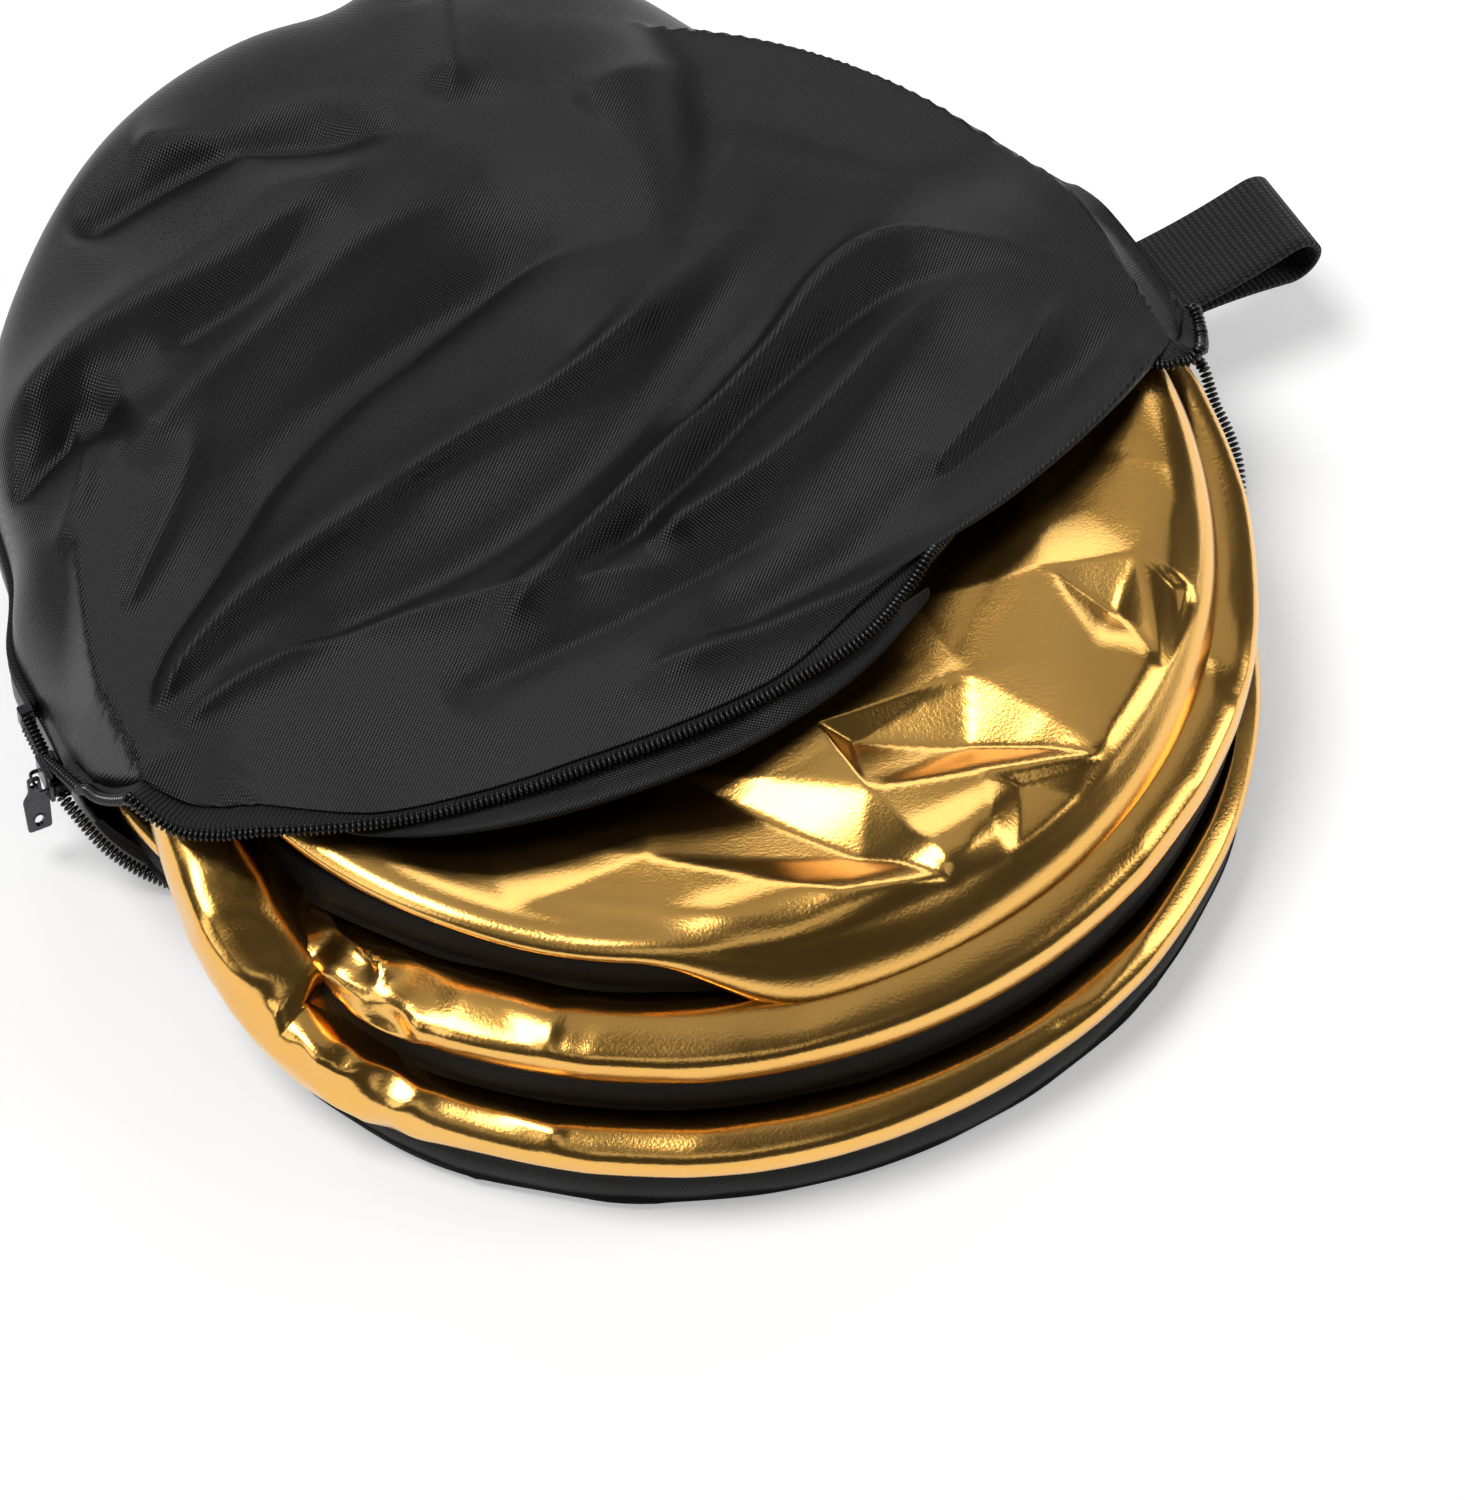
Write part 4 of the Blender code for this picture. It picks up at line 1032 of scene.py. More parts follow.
def lip_reach(x):
    """How far the lip comes forward of the mouth's ends: fuller on the slider's side."""
    fuller = smoothstep(0.040, -0.020, x)
    power = mix(1.75, 3.0, fuller)
    ease = np.clip(np.abs(x) / WALL, 0, 1)
    return mix(LIP_RIGHT, LIP, fuller) * (1 - ease**power) ** (1 / power) + lip_cover(x)


def lip_cover(x):
    """Along the middle of the mouth the cloth reaches further over the tape."""
    return 5.0 * MM * smoothstep(-0.122, -0.092, x) * smoothstep(0.034, 0.0, x)


def rolled_lip(x, y, z, share):
    """Turns the edge of the right part of the lip under, as a small roll."""
    right = smoothstep(0.030, 0.060, x) * smoothstep(0.136, 0.116, x) * (y < 0)
    turned = np.clip((share - 1 + ROLLED_SHARE) / ROLLED_SHARE, 0, 1) * math.pi
    ahead = LIP_ROLL * np.sin(turned) - ROLLED_SHARE * lip_reach(x) * turned / math.pi
    return x, y - right * ahead, z - right * LIP_ROLL * (1 - np.cos(turned))


def make_bag_top():
    across, back = round_grid(TOP_GRID)
    share = np.clip(np.hypot(across, back), 0, 1)
    angle = np.arctan2(np.maximum(back, 0), across)
    hang = np.sin(math.pi * np.clip((share - 0.84) / 0.16, 0, 1)) * smoothstep(46, 66, np.degrees(angle))
    hang = hang * smoothstep(178, 160, np.degrees(angle))
    size = 1 + np.where(back > 0, outline_swell(angle) + 0.045 * hang, 0.0) * share**2
    x = WALL * size * across
    ahead = back / np.sqrt(np.maximum(1 - across**2, 1e-9))
    y = np.where(back > 0, REAR * size * back, lip_reach(x) * np.clip(ahead, -1, 0))
    share = np.where(back > 0, share, np.clip(-ahead, 0, 1))
    z = top_height(x, y, share, angle)
    cloth = np.stack([x, y], -1)
    points = np.stack(rolled_lip(x, y, z, share), -1)
    obj = lay_grid("bag_top", points, cloth)
    face_outward(obj, Vector((0, 0, 1)))
    obj.data.materials.append(nylon)
    thicken(obj, NYLON_THICK, -1)
    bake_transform(obj)
    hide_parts("bag_upper_panel", "mouth_flap")
    report(obj)
    return obj


bag_top = make_bag_top()

# %% [markdown]
# ### The lower round
# The lower round lies under the disc, turns up into a wall round the rear, and ends in front as a flat lip
# that carries the other half of the zip. It is a grid of rays: each ray runs over the table, then up to the
# seam.

# %% Lay the lower round
BASE_RAYS = 320
FLOOR_RINGS, WALL_RINGS = 26, 12
FRONT_EDGE = 0.1405
PLY = 0.0006


def from_corner(angle):
    """Degrees ahead of the nearer end of the mouth, for the front half."""
    turned = np.degrees(angle) - 180
    return np.minimum(turned, 180 - turned)


def base_edge(angle):
    """Plan points and heights of the lower round's edge, all the way round."""
    front = angle > math.pi
    rear_angle = np.where(front, 0.0, angle)
    size = 1 + outline_swell(rear_angle)
    ahead = from_corner(np.where(front, angle, math.pi))
    turned = np.degrees(angle) - 180
    drawn = 22 * MM * smoothstep(5, 20, turned) * smoothstep(100, 60, turned)
    radius = mix(WALL, FRONT_EDGE, smoothstep(0, 24, ahead)) - drawn
    x = np.where(front, radius, WALL * size) * np.cos(angle)
    y = np.where(front, radius, REAR * size) * np.sin(angle)
    lift = SEAM_Z * (1 - smoothstep(1, 17, ahead))
    return x, y, np.where(front, np.maximum(lift, PLY), seam_height(rear_angle))


def make_bag_base():
    angle = np.linspace(0, 2 * math.pi, BASE_RAYS, endpoint=False)
    x, y, z = base_edge(angle)
    up = np.clip(z / SEAM_Z, 0, 1)
    inset = mix(1.0, 0.955, up)
    free = 1 - np.exp(-(((angle - math.pi) / 0.14) ** 2))
    rows = []
    for share in np.linspace(0, 1, FLOOR_RINGS):
        rows.append(np.stack([x * inset * share, y * inset * share, PLY + 0 * x], -1))
    for share in np.linspace(0, 1, WALL_RINGS + 1)[1:]:
        out = mix(inset, 1.0, np.sin(share * math.pi / 2) ** 0.6)
        out = out + 0.012 * up * free * np.sin(math.pi * share)
        rows.append(np.stack([x * out, y * out, mix(PLY, z, share)], -1))
    points = np.stack(rows, 1)
    height = points[..., 2]
    loose = np.sin(math.pi * np.clip(height / np.maximum(z, 1e-4)[:, None], 0, 1)) * up[:, None]
    lean = rumple(points, 0.025, 5.5) * 1.6 * MM * loose * free[:, None]
    points[..., :2] += (points[..., :2] / np.maximum(np.hypot(x, y), 0.01)[:, None, None]) * lean[..., None]
    uv = np.concatenate([points[..., :2], points[:1, :, :2]])
    uv[..., 1] += np.concatenate([height, height[:1]])
    obj = lay_grid("bag_base", points, uv, True)
    weld(obj)
    face_outward(obj, Vector((0, 0, -1)))
    obj.data.materials.append(nylon)
    thicken(obj, NYLON_THICK, 0)
    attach(obj, "bag")
    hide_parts("bag_lower_panel")
    report(obj)
    return obj


bag_base = make_bag_base()

# %% [markdown]
# ### The bound seam
# A narrow tape binds the two rounds together at the rear. It is sewn twice, so it shows as two raised lines
# side by side. A section with two beads is swept along the seam.

# %% Bind the seam
BEAD = np.array(
    [
        (-0.4, -2.9),
        (0.6, -3.1),
        (1.35, -2.6),
        (1.5, -1.8),
        (1.25, -0.9),
        (0.75, 0.0),
        (1.25, 0.9),
        (1.5, 1.8),
        (1.35, 2.6),
        (0.6, 3.1),
        (-0.4, 2.9),
        (-0.7, 0.0),
    ]
)


def make_seam():
    angle = np.radians(np.linspace(1.3, 175.6, 260))
    place, out = seam_line(angle)
    section = BEAD * MM
    points = place[:, None] + out[:, None] * section[None, :, :1]
    points[..., 2] += section[None, :, 1]
    run = along(place)[:, None]
    edge = np.arange(len(section) + 1)[None] * 1.2 * MM
    uv = np.stack(np.broadcast_arrays(edge, run), -1)
    obj = lay_grid("seam_binding", points, uv, False, True)
    close_ends(obj)
    obj.data.materials.append(tape)
    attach(obj, "bag")
    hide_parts("seam_tape")
    report(obj)


make_seam()

# %% [markdown]
# ## The zip
# A coil zip has two woven tapes, each with a row of rounded teeth along its edge. One half follows the lip of
# the upper round and lifts with it; the other lies along the lower lip. Each row is one mesh of many small
# teeth, set square to its path.

# %% Tape and teeth
TOOTH_PITCH = 1.35 * MM
# Half sizes of a tooth across its tape, along it and up, and its height over the tape
TOOTH_SIZE = np.array([1.75, 0.60, 1.30]) * MM
TOOTH_SEAT = 1.15 * MM
TAPE_WIDTH, TAPE_THICK = 0.0090, 0.7 * MM
CHAIN = 0.1505
CHAIN_UP, CHAIN_DOWN = 0.0299, 0.0261


def even_steps(path, pitch):
    """Points at an even pitch along a path, with the way ahead at each."""
    run = along(path)
    place = np.arange(pitch / 2, run[-1], pitch)
    points = np.stack([np.interp(place, run, path[:, k]) for k in range(3)], -1)
    way = np.gradient(points, axis=0)
    return points, way / np.linalg.norm(way, axis=1)[:, None]


def tooth_shape():
    """A rounded tooth: points on a unit ball, with its faces."""
    shape = bmesh.new()
    bmesh.ops.create_uvsphere(shape, u_segments=8, v_segments=5, radius=1.0)
    points = np.array([list(vertex.co) for vertex in shape.verts])
    faces = [[vertex.index for vertex in face.verts] for face in shape.faces]
    shape.free()
    return points, faces


def make_teeth(name, path, across):
    """A row of teeth along the path; across gives the tape's direction at each of its points."""
    places, way = even_steps(path, TOOTH_PITCH)
    run = along(path)
    here = np.linspace(0, run[-1], len(places))
    side = np.stack([np.interp(here, run, across[:, k]) for k in range(3)], -1)
    side = side - (side * way).sum(1)[:, None] * way
    side = side / np.linalg.norm(side, axis=1)[:, None]
    up = np.cross(side, way)
    ball, ball_faces = tooth_shape()
    points, faces = [], []
    for place, s, w, u in zip(places, side, way, up):
        first = len(points)
        points.extend((place + (ball * TOOTH_SIZE) @ np.stack([s, w, u])).tolist())
        faces.extend([[first + k for k in face] for face in ball_faces])
    mesh = bpy.data.meshes.new(name)
    mesh.from_pydata(points, [], faces)
    mesh.shade_smooth()
    obj = bpy.data.objects.new(name, mesh)
    bpy.context.scene.collection.objects.link(obj)
    face_outward(obj)
    obj.data.materials.append(coil)
    report(obj)
    return obj


def strip(name, rows, material):
    """A flat woven strip over rows of points, each row one edge-to-edge line."""
    run = along(rows[:, 0])[:, None]
    edge = along(rows[len(rows) // 2])[None]
    obj = lay_grid(name, rows, np.stack(np.broadcast_arrays(edge, run), -1))
    face_outward(obj, Vector((0, 0, 1)))
    obj.data.materials.append(material)
    thicken(obj, TAPE_THICK, 0)
    report(obj)
    return obj


print(f"teeth {TOOTH_PITCH / MM:.2f} mm apart")

# %% [markdown]
# The upper tape is sewn under the lip and stands out past it. Under the rolled part of the lip it is drawn
# back, so that its teeth are hidden there. Behind the teeth a black facing strip shows along the middle of
# the mouth.

# %% The upper half
LIP_STEPS = 260
TAPE_SHOWS = TAPE_WIDTH - 1.5 * MM
DRAWN_BACK = 19 * MM


def lip_point(turned, ahead, drop):
    """Points along the lip: ahead is how far past the cloth's edge, drop how far below it."""
    x = WALL * np.cos(turned)
    y = -lip_reach(x)
    z = top_height(x, y, np.ones_like(x), np.zeros_like(x))
    way = np.stack([np.gradient(x), np.gradient(y)], -1)
    out = np.stack([way[:, 1], -way[:, 0], 0 * x], -1) / np.linalg.norm(way, axis=1)[:, None]
    near = np.minimum(1.0, np.sin(turned) * 2.2)[:, None]
    place = np.stack([x, y, z - drop], -1)
    return place + out * near * np.reshape(ahead, (-1, 1)), out


def tucked(turned):
    """Share by which the tape is drawn back under the rolled part of the lip."""
    x = WALL * np.cos(turned)
    return smoothstep(0.020, 0.084, x) * smoothstep(0.134, 0.118, x)


def clear_disc(points, room):
    """Lifts points that would touch the folded disc."""
    points[..., 2] = np.maximum(points[..., 2], disc_top(points[..., 0], points[..., 1]) + room)
    return points


def under_cloth(points, back, depth):
    """Lowers the tucked points to a depth below the cloth over them."""
    x, y = points[:, 0], points[:, 1]
    cloth = top_height(x, y, np.full_like(x, 0.85), np.zeros_like(x))
    points[:, 2] = mix(points[:, 2], np.minimum(points[:, 2], cloth - depth), np.minimum(1, 3 * back))
    return points


def make_upper_zip():
    turned = np.linspace(math.radians(176), math.radians(4), LIP_STEPS)
    back = tucked(turned)
    reach = TAPE_SHOWS - lip_cover(WALL * np.cos(turned))
    chain, out = lip_point(turned, reach + 0.2 * MM - back * DRAWN_BACK, 0.4 * MM + back * 2.9 * MM)
    chain = under_cloth(clear_disc(chain, 1.6 * MM), back, 2.6 * MM)
    left_end, right_end = np.array([(-CHAIN, -0.0030, CHAIN_UP), (CHAIN, -0.0040, CHAIN_UP)])
    chain[:5] = mix(left_end, chain[4], np.linspace(0, 1, 5)[:, None])
    chain[-3:] = mix(chain[-3], right_end, np.linspace(0, 1, 3)[:, None])
    inner, _ = lip_point(turned, -2.0 * MM - 0.4 * back * DRAWN_BACK, 0.9 * MM + back * 2.0 * MM)
    inner = under_cloth(inner, back, 1.4 * MM)
    outer = chain - [0, 0, TOOTH_SEAT]
    rows = np.stack([mix(inner, outer, share) for share in np.linspace(0, 1, 6)], 1)
    upper_tape = strip("zip_tape_top", clear_disc(rows, 0.4 * MM), tape)
    tail = np.array([(-CHAIN, 0.0100, CHAIN_UP), (-CHAIN, 0.0040, CHAIN_UP)])
    path = np.concatenate([tail, chain])
    side = np.concatenate([[(-1, 0, 0)] * 2, out])
    teeth = make_teeth("zip_teeth_top", path, side)
    for obj in (upper_tape, teeth):
        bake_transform(obj)
    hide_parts("zip_tape_upper", "zip_tape_upper_left", "zip_tape_upper_right")
    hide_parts("zip_coil_upper", "zip_coil_upper_left", "zip_coil_upper_right")
    return upper_tape, teeth


def make_facing():
    turned = np.linspace(math.radians(134), math.radians(72), 120)
    reach = TAPE_SHOWS - lip_cover(WALL * np.cos(turned))
    fade = np.sin(np.linspace(0, math.pi, len(turned))) ** 0.6
    rows = []
    for share in np.linspace(0, 1, 6):
        ahead = reach - 2.0 * MM + share * 11.0 * MM * fade
        row, _ = lip_point(turned, ahead, (2.4 + 2.2 * share) * MM)
        rows.append(row)
    points = np.stack(rows, 1)
    points[..., 2] += rumple(points, 0.016, 1.7) * 0.8 * MM
    facing = strip("mouth_facing", clear_disc(points, 0.3 * MM), nylon)
    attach(facing, "flap")
    return facing


zip_tape_top, zip_teeth_top = make_upper_zip()
mouth_facing = make_facing()

# %% [markdown]
# The lower half runs down from the slider, then flat along the lower lip and up again to the hanging loop's
# corner, where its end stop is.

# %% The lower half


def make_lower_zip():
    angle = np.radians(np.linspace(187, 353, 260))
    x, y, z = base_edge(angle)
    out = np.stack([np.cos(angle), np.sin(angle), 0 * angle], -1)
    edge = np.stack([x, y, z], -1)
    ahead = smoothstep(2, 12, from_corner(angle))
    spread = mix(0.35, 1.0, smoothstep(200, 250, np.degrees(angle)))
    flat = (ahead * spread)[:, None]
    rows = []
    for share in np.linspace(-0.2, 1, 6):
        rows.append(edge + out * TAPE_WIDTH * share * flat + np.array([0, 0, 0.7 * MM]))
    lower_tape = strip("zip_tape_base", np.stack(rows, 1), tape)
    row = edge + out * (TAPE_WIDTH * flat + 1.6 * MM)
    row[:, 2] = np.maximum(row[:, 2] - 1.2 * MM * (1 - flat[:, 0]), 1.4 * MM)
    tail = np.array([(-CHAIN, 0.0100, CHAIN_DOWN), (-CHAIN, 0.0, CHAIN_DOWN), (-CHAIN, -0.0120, CHAIN_DOWN)])
    end = np.array([(CHAIN, -0.0120, CHAIN_DOWN), (CHAIN, -0.0040, CHAIN_DOWN)])
    path = np.concatenate([tail, row, end])
    side = np.concatenate([[(-1, 0, 0)] * 3, out, [(1, 0, 0)] * 2])
    teeth = make_teeth("zip_teeth_base", path, side)
    for obj in (lower_tape, teeth):
        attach(obj, "bag")
    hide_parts("zip_tape_lower")
    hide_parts("zip_coil_lower")
    return lower_tape, teeth


zip_tape_base, zip_teeth_base = make_lower_zip()

# %% [markdown]
# ### Slider, bail and puller
# The slider is a small casting: two plates with turned-in edges round the teeth, a post between them, a bail
# wire, and a puller that swings on it. Each plate is drawn as a flat outline with holes, because a filled
# curve with a bevel gives even rounded edges, and is then stood up where it belongs.

# %% Plates from outlines


def rounded(corners, radius, steps=6):
    """Points of a polygon with rounded corners."""
    points = []
    count = len(corners)
    for k in range(count):
        here = np.array(corners[k], float)
        before = np.array(corners[k - 1], float) - here
        after = np.array(corners[(k + 1) % count], float) - here
        a = here + before / np.linalg.norm(before) * radius
        b = here + after / np.linalg.norm(after) * radius
        for t in np.linspace(0, 1, steps):
            points.append((1 - t) ** 2 * a + 2 * t * (1 - t) * here + t**2 * b)
    return np.array(points)


def oval(middle, width, height, count=28):
    turned = np.linspace(0, 2 * math.pi, count, endpoint=False)
    return np.stack([middle[0] + width / 2 * np.cos(turned), middle[1] + height / 2 * np.sin(turned)], -1)


def plate(outlines, thickness, bevel):
    """Points and faces of a flat plate; the first outline is its edge, the rest are holes."""
    data = bpy.data.curves.new("outline", "CURVE")
    data.dimensions = "2D"
    data.fill_mode = "BOTH"
    data.extrude = thickness / 2 - bevel
    data.bevel_depth = bevel
    data.bevel_resolution = 2
    data.offset = -bevel
    for outline in outlines:
        line = data.splines.new("POLY")
        line.points.add(len(outline) - 1)
        for point, place in zip(line.points, outline):
            point.co = (place[0], place[1], 0, 1)
        line.use_cyclic_u = True
    obj = bpy.data.objects.new("outline", data)
    bpy.context.scene.collection.objects.link(obj)
    mesh = bpy.data.meshes.new_from_object(obj.evaluated_get(bpy.context.evaluated_depsgraph_get()))
    points = np.array([list(vertex.co) for vertex in mesh.vertices])
    faces = [list(face.vertices) for face in mesh.polygons]
    bpy.data.objects.remove(obj)
    bpy.data.curves.remove(data)
    bpy.data.meshes.remove(mesh)
    return points, faces


def joined(name, parts, material):
    """One object from several lots of points and faces."""
    points, faces = [], []
    for part_points, part_faces in parts:
        first = len(points)
        points.extend(np.asarray(part_points).tolist())
        faces.extend([[first + k for k in face] for face in part_faces])
    mesh = bpy.data.meshes.new(name)
    mesh.from_pydata(points, [], faces)
    obj = bpy.data.objects.new(name, mesh)
    bpy.context.scene.collection.objects.link(obj)
    weld(obj)
    face_outward(obj)
    obj.data.materials.append(material)
    shade_by_angle(obj)
    report(obj)
    return obj


def shade_by_angle(obj):
    """Smooth shading with hard edges where faces meet at more than 40 degrees."""
    shape = bmesh.new()
    shape.from_mesh(obj.data)
    for edge in shape.edges:
        edge.smooth = len(edge.link_faces) == 2 and edge.calc_face_angle(0) < math.radians(40)
    for face in shape.faces:
        face.smooth = True
    shape.to_mesh(obj.data)
    shape.free()


print("helpers for plates are ready")

# %% [markdown]
# The slider's two plates, the flanges between them and its post go into one mesh. The puller is a mesh of its
# own, because it swings. All outlines are in mm, about the slider's middle or the puller's pin.

# %% The slider
SLIDER_X = (-0.1530, -0.1480)
SLIDER_MIDDLE = -0.0070
SLIDER_Z = 0.0280
SLIDER_HALF = ((-5.0, 3.0), (-3.6, 4.15), (-0.5, 3.9), (5.0, 3.3))
FLANGE = ((-2.6, 3.1), (-2.6, 4.0), (5.0, 3.3), (5.0, 2.5))
BAIL_ARCH = ((-3.0, 0.1), (-3.05, 1.5), (-2.4, 2.35), (0, 2.45), (2.4, 2.35), (3.05, 1.5), (3.0, 0.1))
BAIL_STEPS, BAIL_SIDES = 40, 12
PULLER_X = -0.15548
PULLER_HALF = ((1.6, 2.1), (1.7, -3.4), (3.3, -6.2), (3.0, -18.6))
HOLE_MIDDLE = (0, -14.6 * MM)


def on_slider(made, x):
    """Stands a plate up on the slider, with its middle at this x."""
    points, faces = made
    return np.stack([x + points[:, 2], SLIDER_MIDDLE + points[:, 0], SLIDER_Z + points[:, 1]], -1), faces


def make_slider():
    plan = [(y, -z) for y, z in SLIDER_HALF] + list(SLIDER_HALF[::-1])
    outline = rounded(np.array(plan) * MM, 0.8 * MM)
    parts = []
    for x in (SLIDER_X[0] + 0.5 * MM, SLIDER_X[1] - 0.5 * MM):
        parts.append(on_slider(plate([outline], 1.0 * MM, 0.3 * MM), x))
    for side in (1, -1):
        flange = plate([np.array(FLANGE) * [1, side] * MM], 1.1 * MM, 0.2 * MM)
        for x in (SLIDER_X[0] + 1.3 * MM, SLIDER_X[1] - 1.3 * MM):
            parts.append(on_slider(flange, x))
    post = plate([oval((-3.4 * MM, 0), 2.6 * MM, 0.8 * MM)], 3.4 * MM, 0.1 * MM)
    parts.append(on_slider(post, sum(SLIDER_X) / 2))
    slider = joined("slider_shell", parts, black_metal)
    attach(slider, "slider")
    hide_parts("slider_body")


def make_bail():
    """A flat wire that arches out from the slider's face; the puller swings on its middle."""
    arch = spline(BAIL_ARCH, BAIL_STEPS) * MM
    way = np.gradient(arch, axis=0)
    out = np.stack([-way[:, 1], way[:, 0]], -1) / np.linalg.norm(way, axis=1)[:, None]
    turned = np.linspace(0, 2 * math.pi, BAIL_SIDES, endpoint=False)
    side, lift = 0.42 * MM * np.cos(turned), 0.72 * MM * np.sin(turned)
    flat = arch[:, None] + out[:, None] * side[None, :, None]
    height = SLIDER_Z + np.broadcast_to(lift, flat.shape[:2])
    points = np.stack([SLIDER_X[0] - flat[..., 1], SLIDER_MIDDLE + flat[..., 0], height], -1)
    bail = lay_grid("slider_wire", points, np.zeros((BAIL_STEPS, BAIL_SIDES + 1, 2)), False, True)
    close_ends(bail)
    bail.data.materials.append(black_metal)
    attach(bail, "slider")
    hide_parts("slider_bail")
    report(bail)


def make_puller():
    edge = [(-PULLER_HALF[0][0], PULLER_HALF[0][1]), *PULLER_HALF]
    edge = edge + [(-x, z) for x, z in PULLER_HALF[:0:-1]]
    outline = rounded(np.array(edge) * MM, 1.1 * MM)
    eye = oval((0, 0.05 * MM), 2.1 * MM, 2.3 * MM)
    hole = oval(HOLE_MIDDLE, 2.3 * MM, 4.2 * MM)
    tab = plate([outline, eye, hole], 1.0 * MM, 0.28 * MM)
    brim = plate([oval(HOLE_MIDDLE, 3.6 * MM, 5.6 * MM), hole], 1.3 * MM, 0.2 * MM)
    parts = []
    for points, faces in (tab, brim):
        stood = [PULLER_X + points[:, 0], SLIDER_MIDDLE + points[:, 2], SLIDER_Z + points[:, 1]]
        parts.append((np.stack(stood, -1), faces))
    puller = joined("slider_pull_tab", parts, black_metal)
    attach(puller, "puller")
    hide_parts("slider_puller")


make_slider()
make_bail()
make_puller()

# %% [markdown]
# ### The hanging loop
# A piece of ribbed webbing is folded back on itself and caught in the seam. Its folded end stands a little
# open like a drop. A flat section with rounded edges is swept round that drop.

# %% Fold the webbing
LOOP_SEAM = Vector((0.15103, 0.01589, 0.0280))
WEBBING_WIDTH, WEBBING_THICK = 0.0250, 0.0016
LOOP_LENGTH = 0.0340
LOOP_BASE, LOOP_END = 1.1 * MM, 6.3 * MM
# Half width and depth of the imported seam, and how far behind the mouth's corner the loop is sewn in
PACKED_WALL, PACKED_REAR = 0.1477, 0.1607
LOOP_BEHIND = 0.0155


def make_hang_loop():
    base, end = LOOP_BASE, LOOP_END
    lean = math.asin((end - base) / LOOP_LENGTH)
    start = np.linspace(math.pi / 2 + lean, 1.5 * math.pi - lean, 8)
    far = np.linspace(-math.pi / 2 - lean, math.pi / 2 + lean, 22)
    near_arc = np.stack([base * np.cos(start), base * np.sin(start)], -1)
    far_arc = np.stack([LOOP_LENGTH + end * np.cos(far), end * np.sin(far)], -1)
    lower = np.linspace(near_arc[-1], far_arc[0], 16)[1:-1]
    upper = np.linspace(far_arc[-1], near_arc[0], 16)[1:-1]
    belly = np.sin(np.linspace(0, math.pi, 16))[1:-1] * 0.9 * MM
    lower[:, 1] += belly
    upper[:, 1] -= belly
    line = np.concatenate([near_arc, lower, far_arc, upper])
    way = np.roll(line, -1, 0) - np.roll(line, 1, 0)
    normal = np.stack([way[:, 1], -way[:, 0]], -1) / np.linalg.norm(way, axis=1)[:, None]
    flat = np.linspace(-1, 1, 9)
    half, thick = WEBBING_WIDTH / 2, WEBBING_THICK / 2
    width = np.concatenate([flat * (half - 0.3 * MM), [half], flat[::-1] * (half - 0.3 * MM), [-half]])
    depth = np.concatenate([np.full(9, thick), [0], np.full(9, -thick), [0]])
    seam_turn = math.asin(LOOP_BEHIND / PACKED_REAR)
    across = np.array([-PACKED_WALL * math.sin(seam_turn), PACKED_REAR * math.cos(seam_turn), 0])
    across = across / np.linalg.norm(across)
    out = np.array([across[1], -across[0], 0])
    place = line[:, None] + normal[:, None] * depth[None, :, None]
    points = np.array(LOOP_SEAM) + out * place[..., :1] + across * width[None, :, None]
    points = points + np.array([0, 0, 1.0]) * place[..., 1:]
    run = np.concatenate([along(line), [along(line)[-1] + 1 * MM]])[:, None]
    uv = np.stack(np.broadcast_arrays(np.concatenate([width, width[:1]])[None], run), -1)
    obj = lay_grid("webbing_loop", points, uv, True, True)
    face_outward(obj)
    obj.data.materials.append(webbing)
    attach(obj, "hang_loop")
    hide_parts("hang_loop")
    report(obj)


make_hang_loop()

# %% [markdown]
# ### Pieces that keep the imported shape
# The steel hoop runs inside its hem, and the zip's small end stops are plain metal clips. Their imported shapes
# are right, so they only get their finishes.

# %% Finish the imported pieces
KEPT = {
    "hoop_band": steel,
    "hoop_splice_plate": steel,
    "zip_bottom_stop": black_metal,
    "zip_top_stop_upper": black_metal,
    "zip_top_stop_lower": black_metal,
}

for node, material in KEPT.items():
    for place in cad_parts[node].material_slots:
        place.material = material
print("kept:", ", ".join(KEPT))

# %% [markdown]
# ## Cloth sizes
# The bag's two rounds are cut 330 mm across. The gold and the black are parts of one round of 0.80 m
# each: the dish is the part inside the top loop, and each roll is a long strip of the face beside the hem.

print("cloth sizes: bag rounds 330 mm, disc 0.80 m")

# %% [markdown]
# ## Floor and light
# Gold shows whatever is round it, so the room matters: a pale floor below, a dim room above, and a few soft
# boxes whose edges draw the folds. A soft sun lights the floor evenly.

# %% Stage
FLOOR_RADIUS = 6.0
STAGE_TURNS, STAGE_RINGS = 64, 8
FLOOR_GLOW = 0.36
PALE = {"Base Color": (0.90, 0.90, 0.90, 1.0), "Roughness": 0.9, "Specular IOR Level": 0.1}


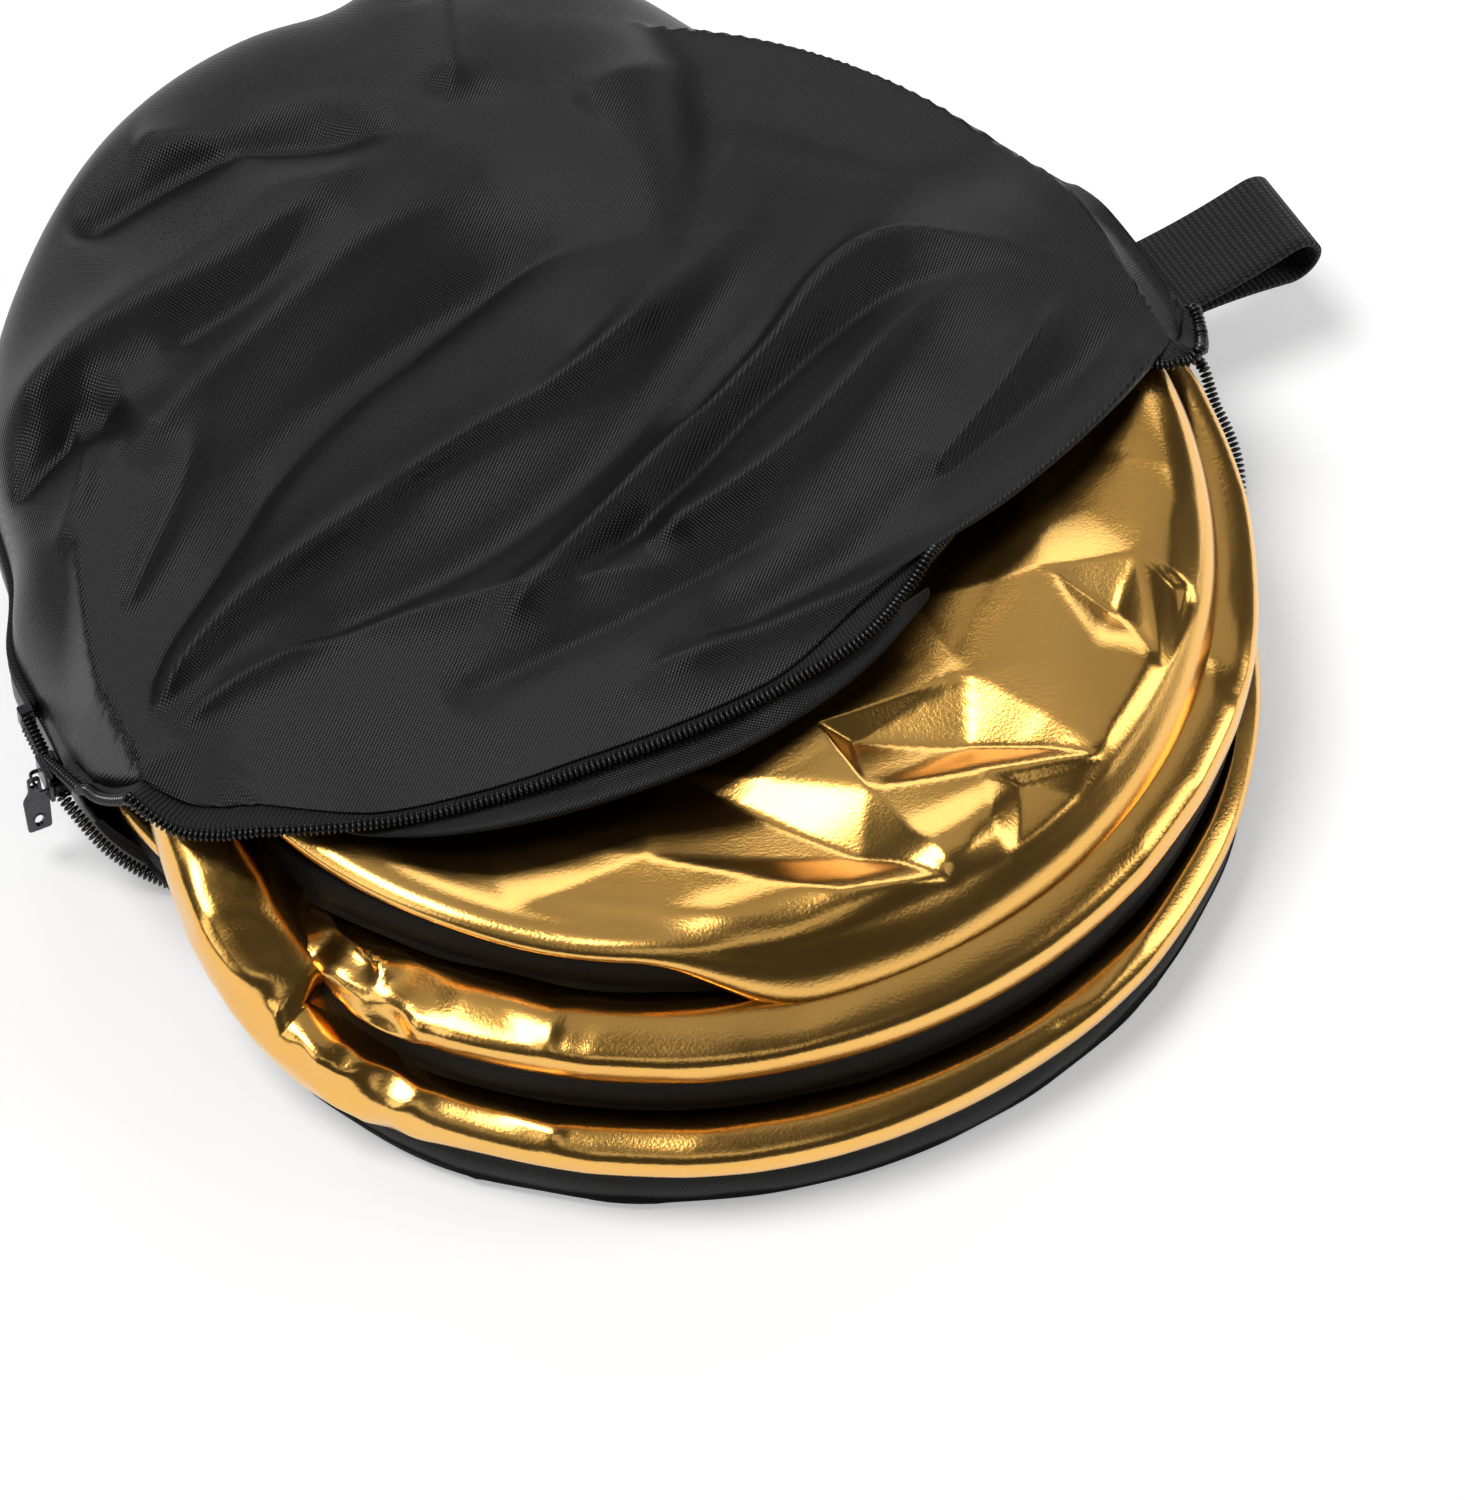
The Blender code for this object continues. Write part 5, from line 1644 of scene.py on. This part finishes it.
def make_floor():
    turned = np.linspace(0, 2 * math.pi, STAGE_TURNS, endpoint=False)
    ring = np.linspace(0, FLOOR_RADIUS, STAGE_RINGS)
    level = np.zeros((STAGE_TURNS, STAGE_RINGS))
    points = np.stack([np.outer(np.cos(turned), ring), np.outer(np.sin(turned), ring), level], -1)
    obj = lay_grid("floor", points, np.zeros((STAGE_TURNS + 1, STAGE_RINGS, 2)), True)
    weld(obj)
    face_outward(obj, Vector((0, 0, 1)))
    pale = Finish("pale floor", PALE)
    seen = pale.node("ShaderNodeLightPath", {}, {}, "Is Camera Ray")
    seen = seen + pale.node("ShaderNodeLightPath", {}, {}, "Is Glossy Ray")
    seen = seen + pale.node("ShaderNodeLightPath", {}, {}, "Is Transmission Ray")
    glow = pale.shade((0.0, 0.0, 0.0), (FLOOR_GLOW,) * 3, seen)
    pale.feed(pale.shader.inputs["Emission Color"], glow)
    pale.shader.inputs["Emission Strength"].default_value = 1.0
    obj.data.materials.append(pale.material)


def lamp(name, kind, place, energy, **settings):
    """A lamp aimed at the middle of the object."""
    data = bpy.data.lights.new(name, kind)
    data.energy = energy
    for key, value in settings.items():
        setattr(data, key, value)
    obj = bpy.data.objects.new(name, data)
    obj.location = place
    obj.visible_camera = False
    obj.rotation_euler = (TARGET - Vector(place)).to_track_quat("-Z", "Y").to_euler()
    bpy.context.scene.collection.objects.link(obj)


make_floor()
world = bpy.data.worlds.new("studio")
world.use_nodes = True
world.node_tree.nodes["Background"].inputs["Color"].default_value = (0.04, 0.04, 0.04, 1.0)
bpy.context.scene.world = world
lamp("sun", "SUN", (-0.75, 0.42, 2.0), 1.6, angle=math.radians(28))
lamp("rear box", "AREA", (0.9, 2.0, 1.25), 14, shape="RECTANGLE", size=2.4, size_y=1.0)
lamp("left box", "AREA", (-1.9, -0.3, 1.2), 5.5, shape="RECTANGLE", size=0.8, size_y=1.5)
lamp("right box", "AREA", (1.7, -0.5, 1.0), 8, shape="RECTANGLE", size=0.6, size_y=1.4)
lamp("front box", "AREA", (-0.4, -1.3, 2.0), 1.5, shape="RECTANGLE", size=1.2, size_y=0.6)
lamp("top box", "AREA", (0.5, 1.0, 2.3), 3.0, shape="RECTANGLE", size=2.2, size_y=1.4)
bpy.context.scene.view_settings.view_transform = "Standard"
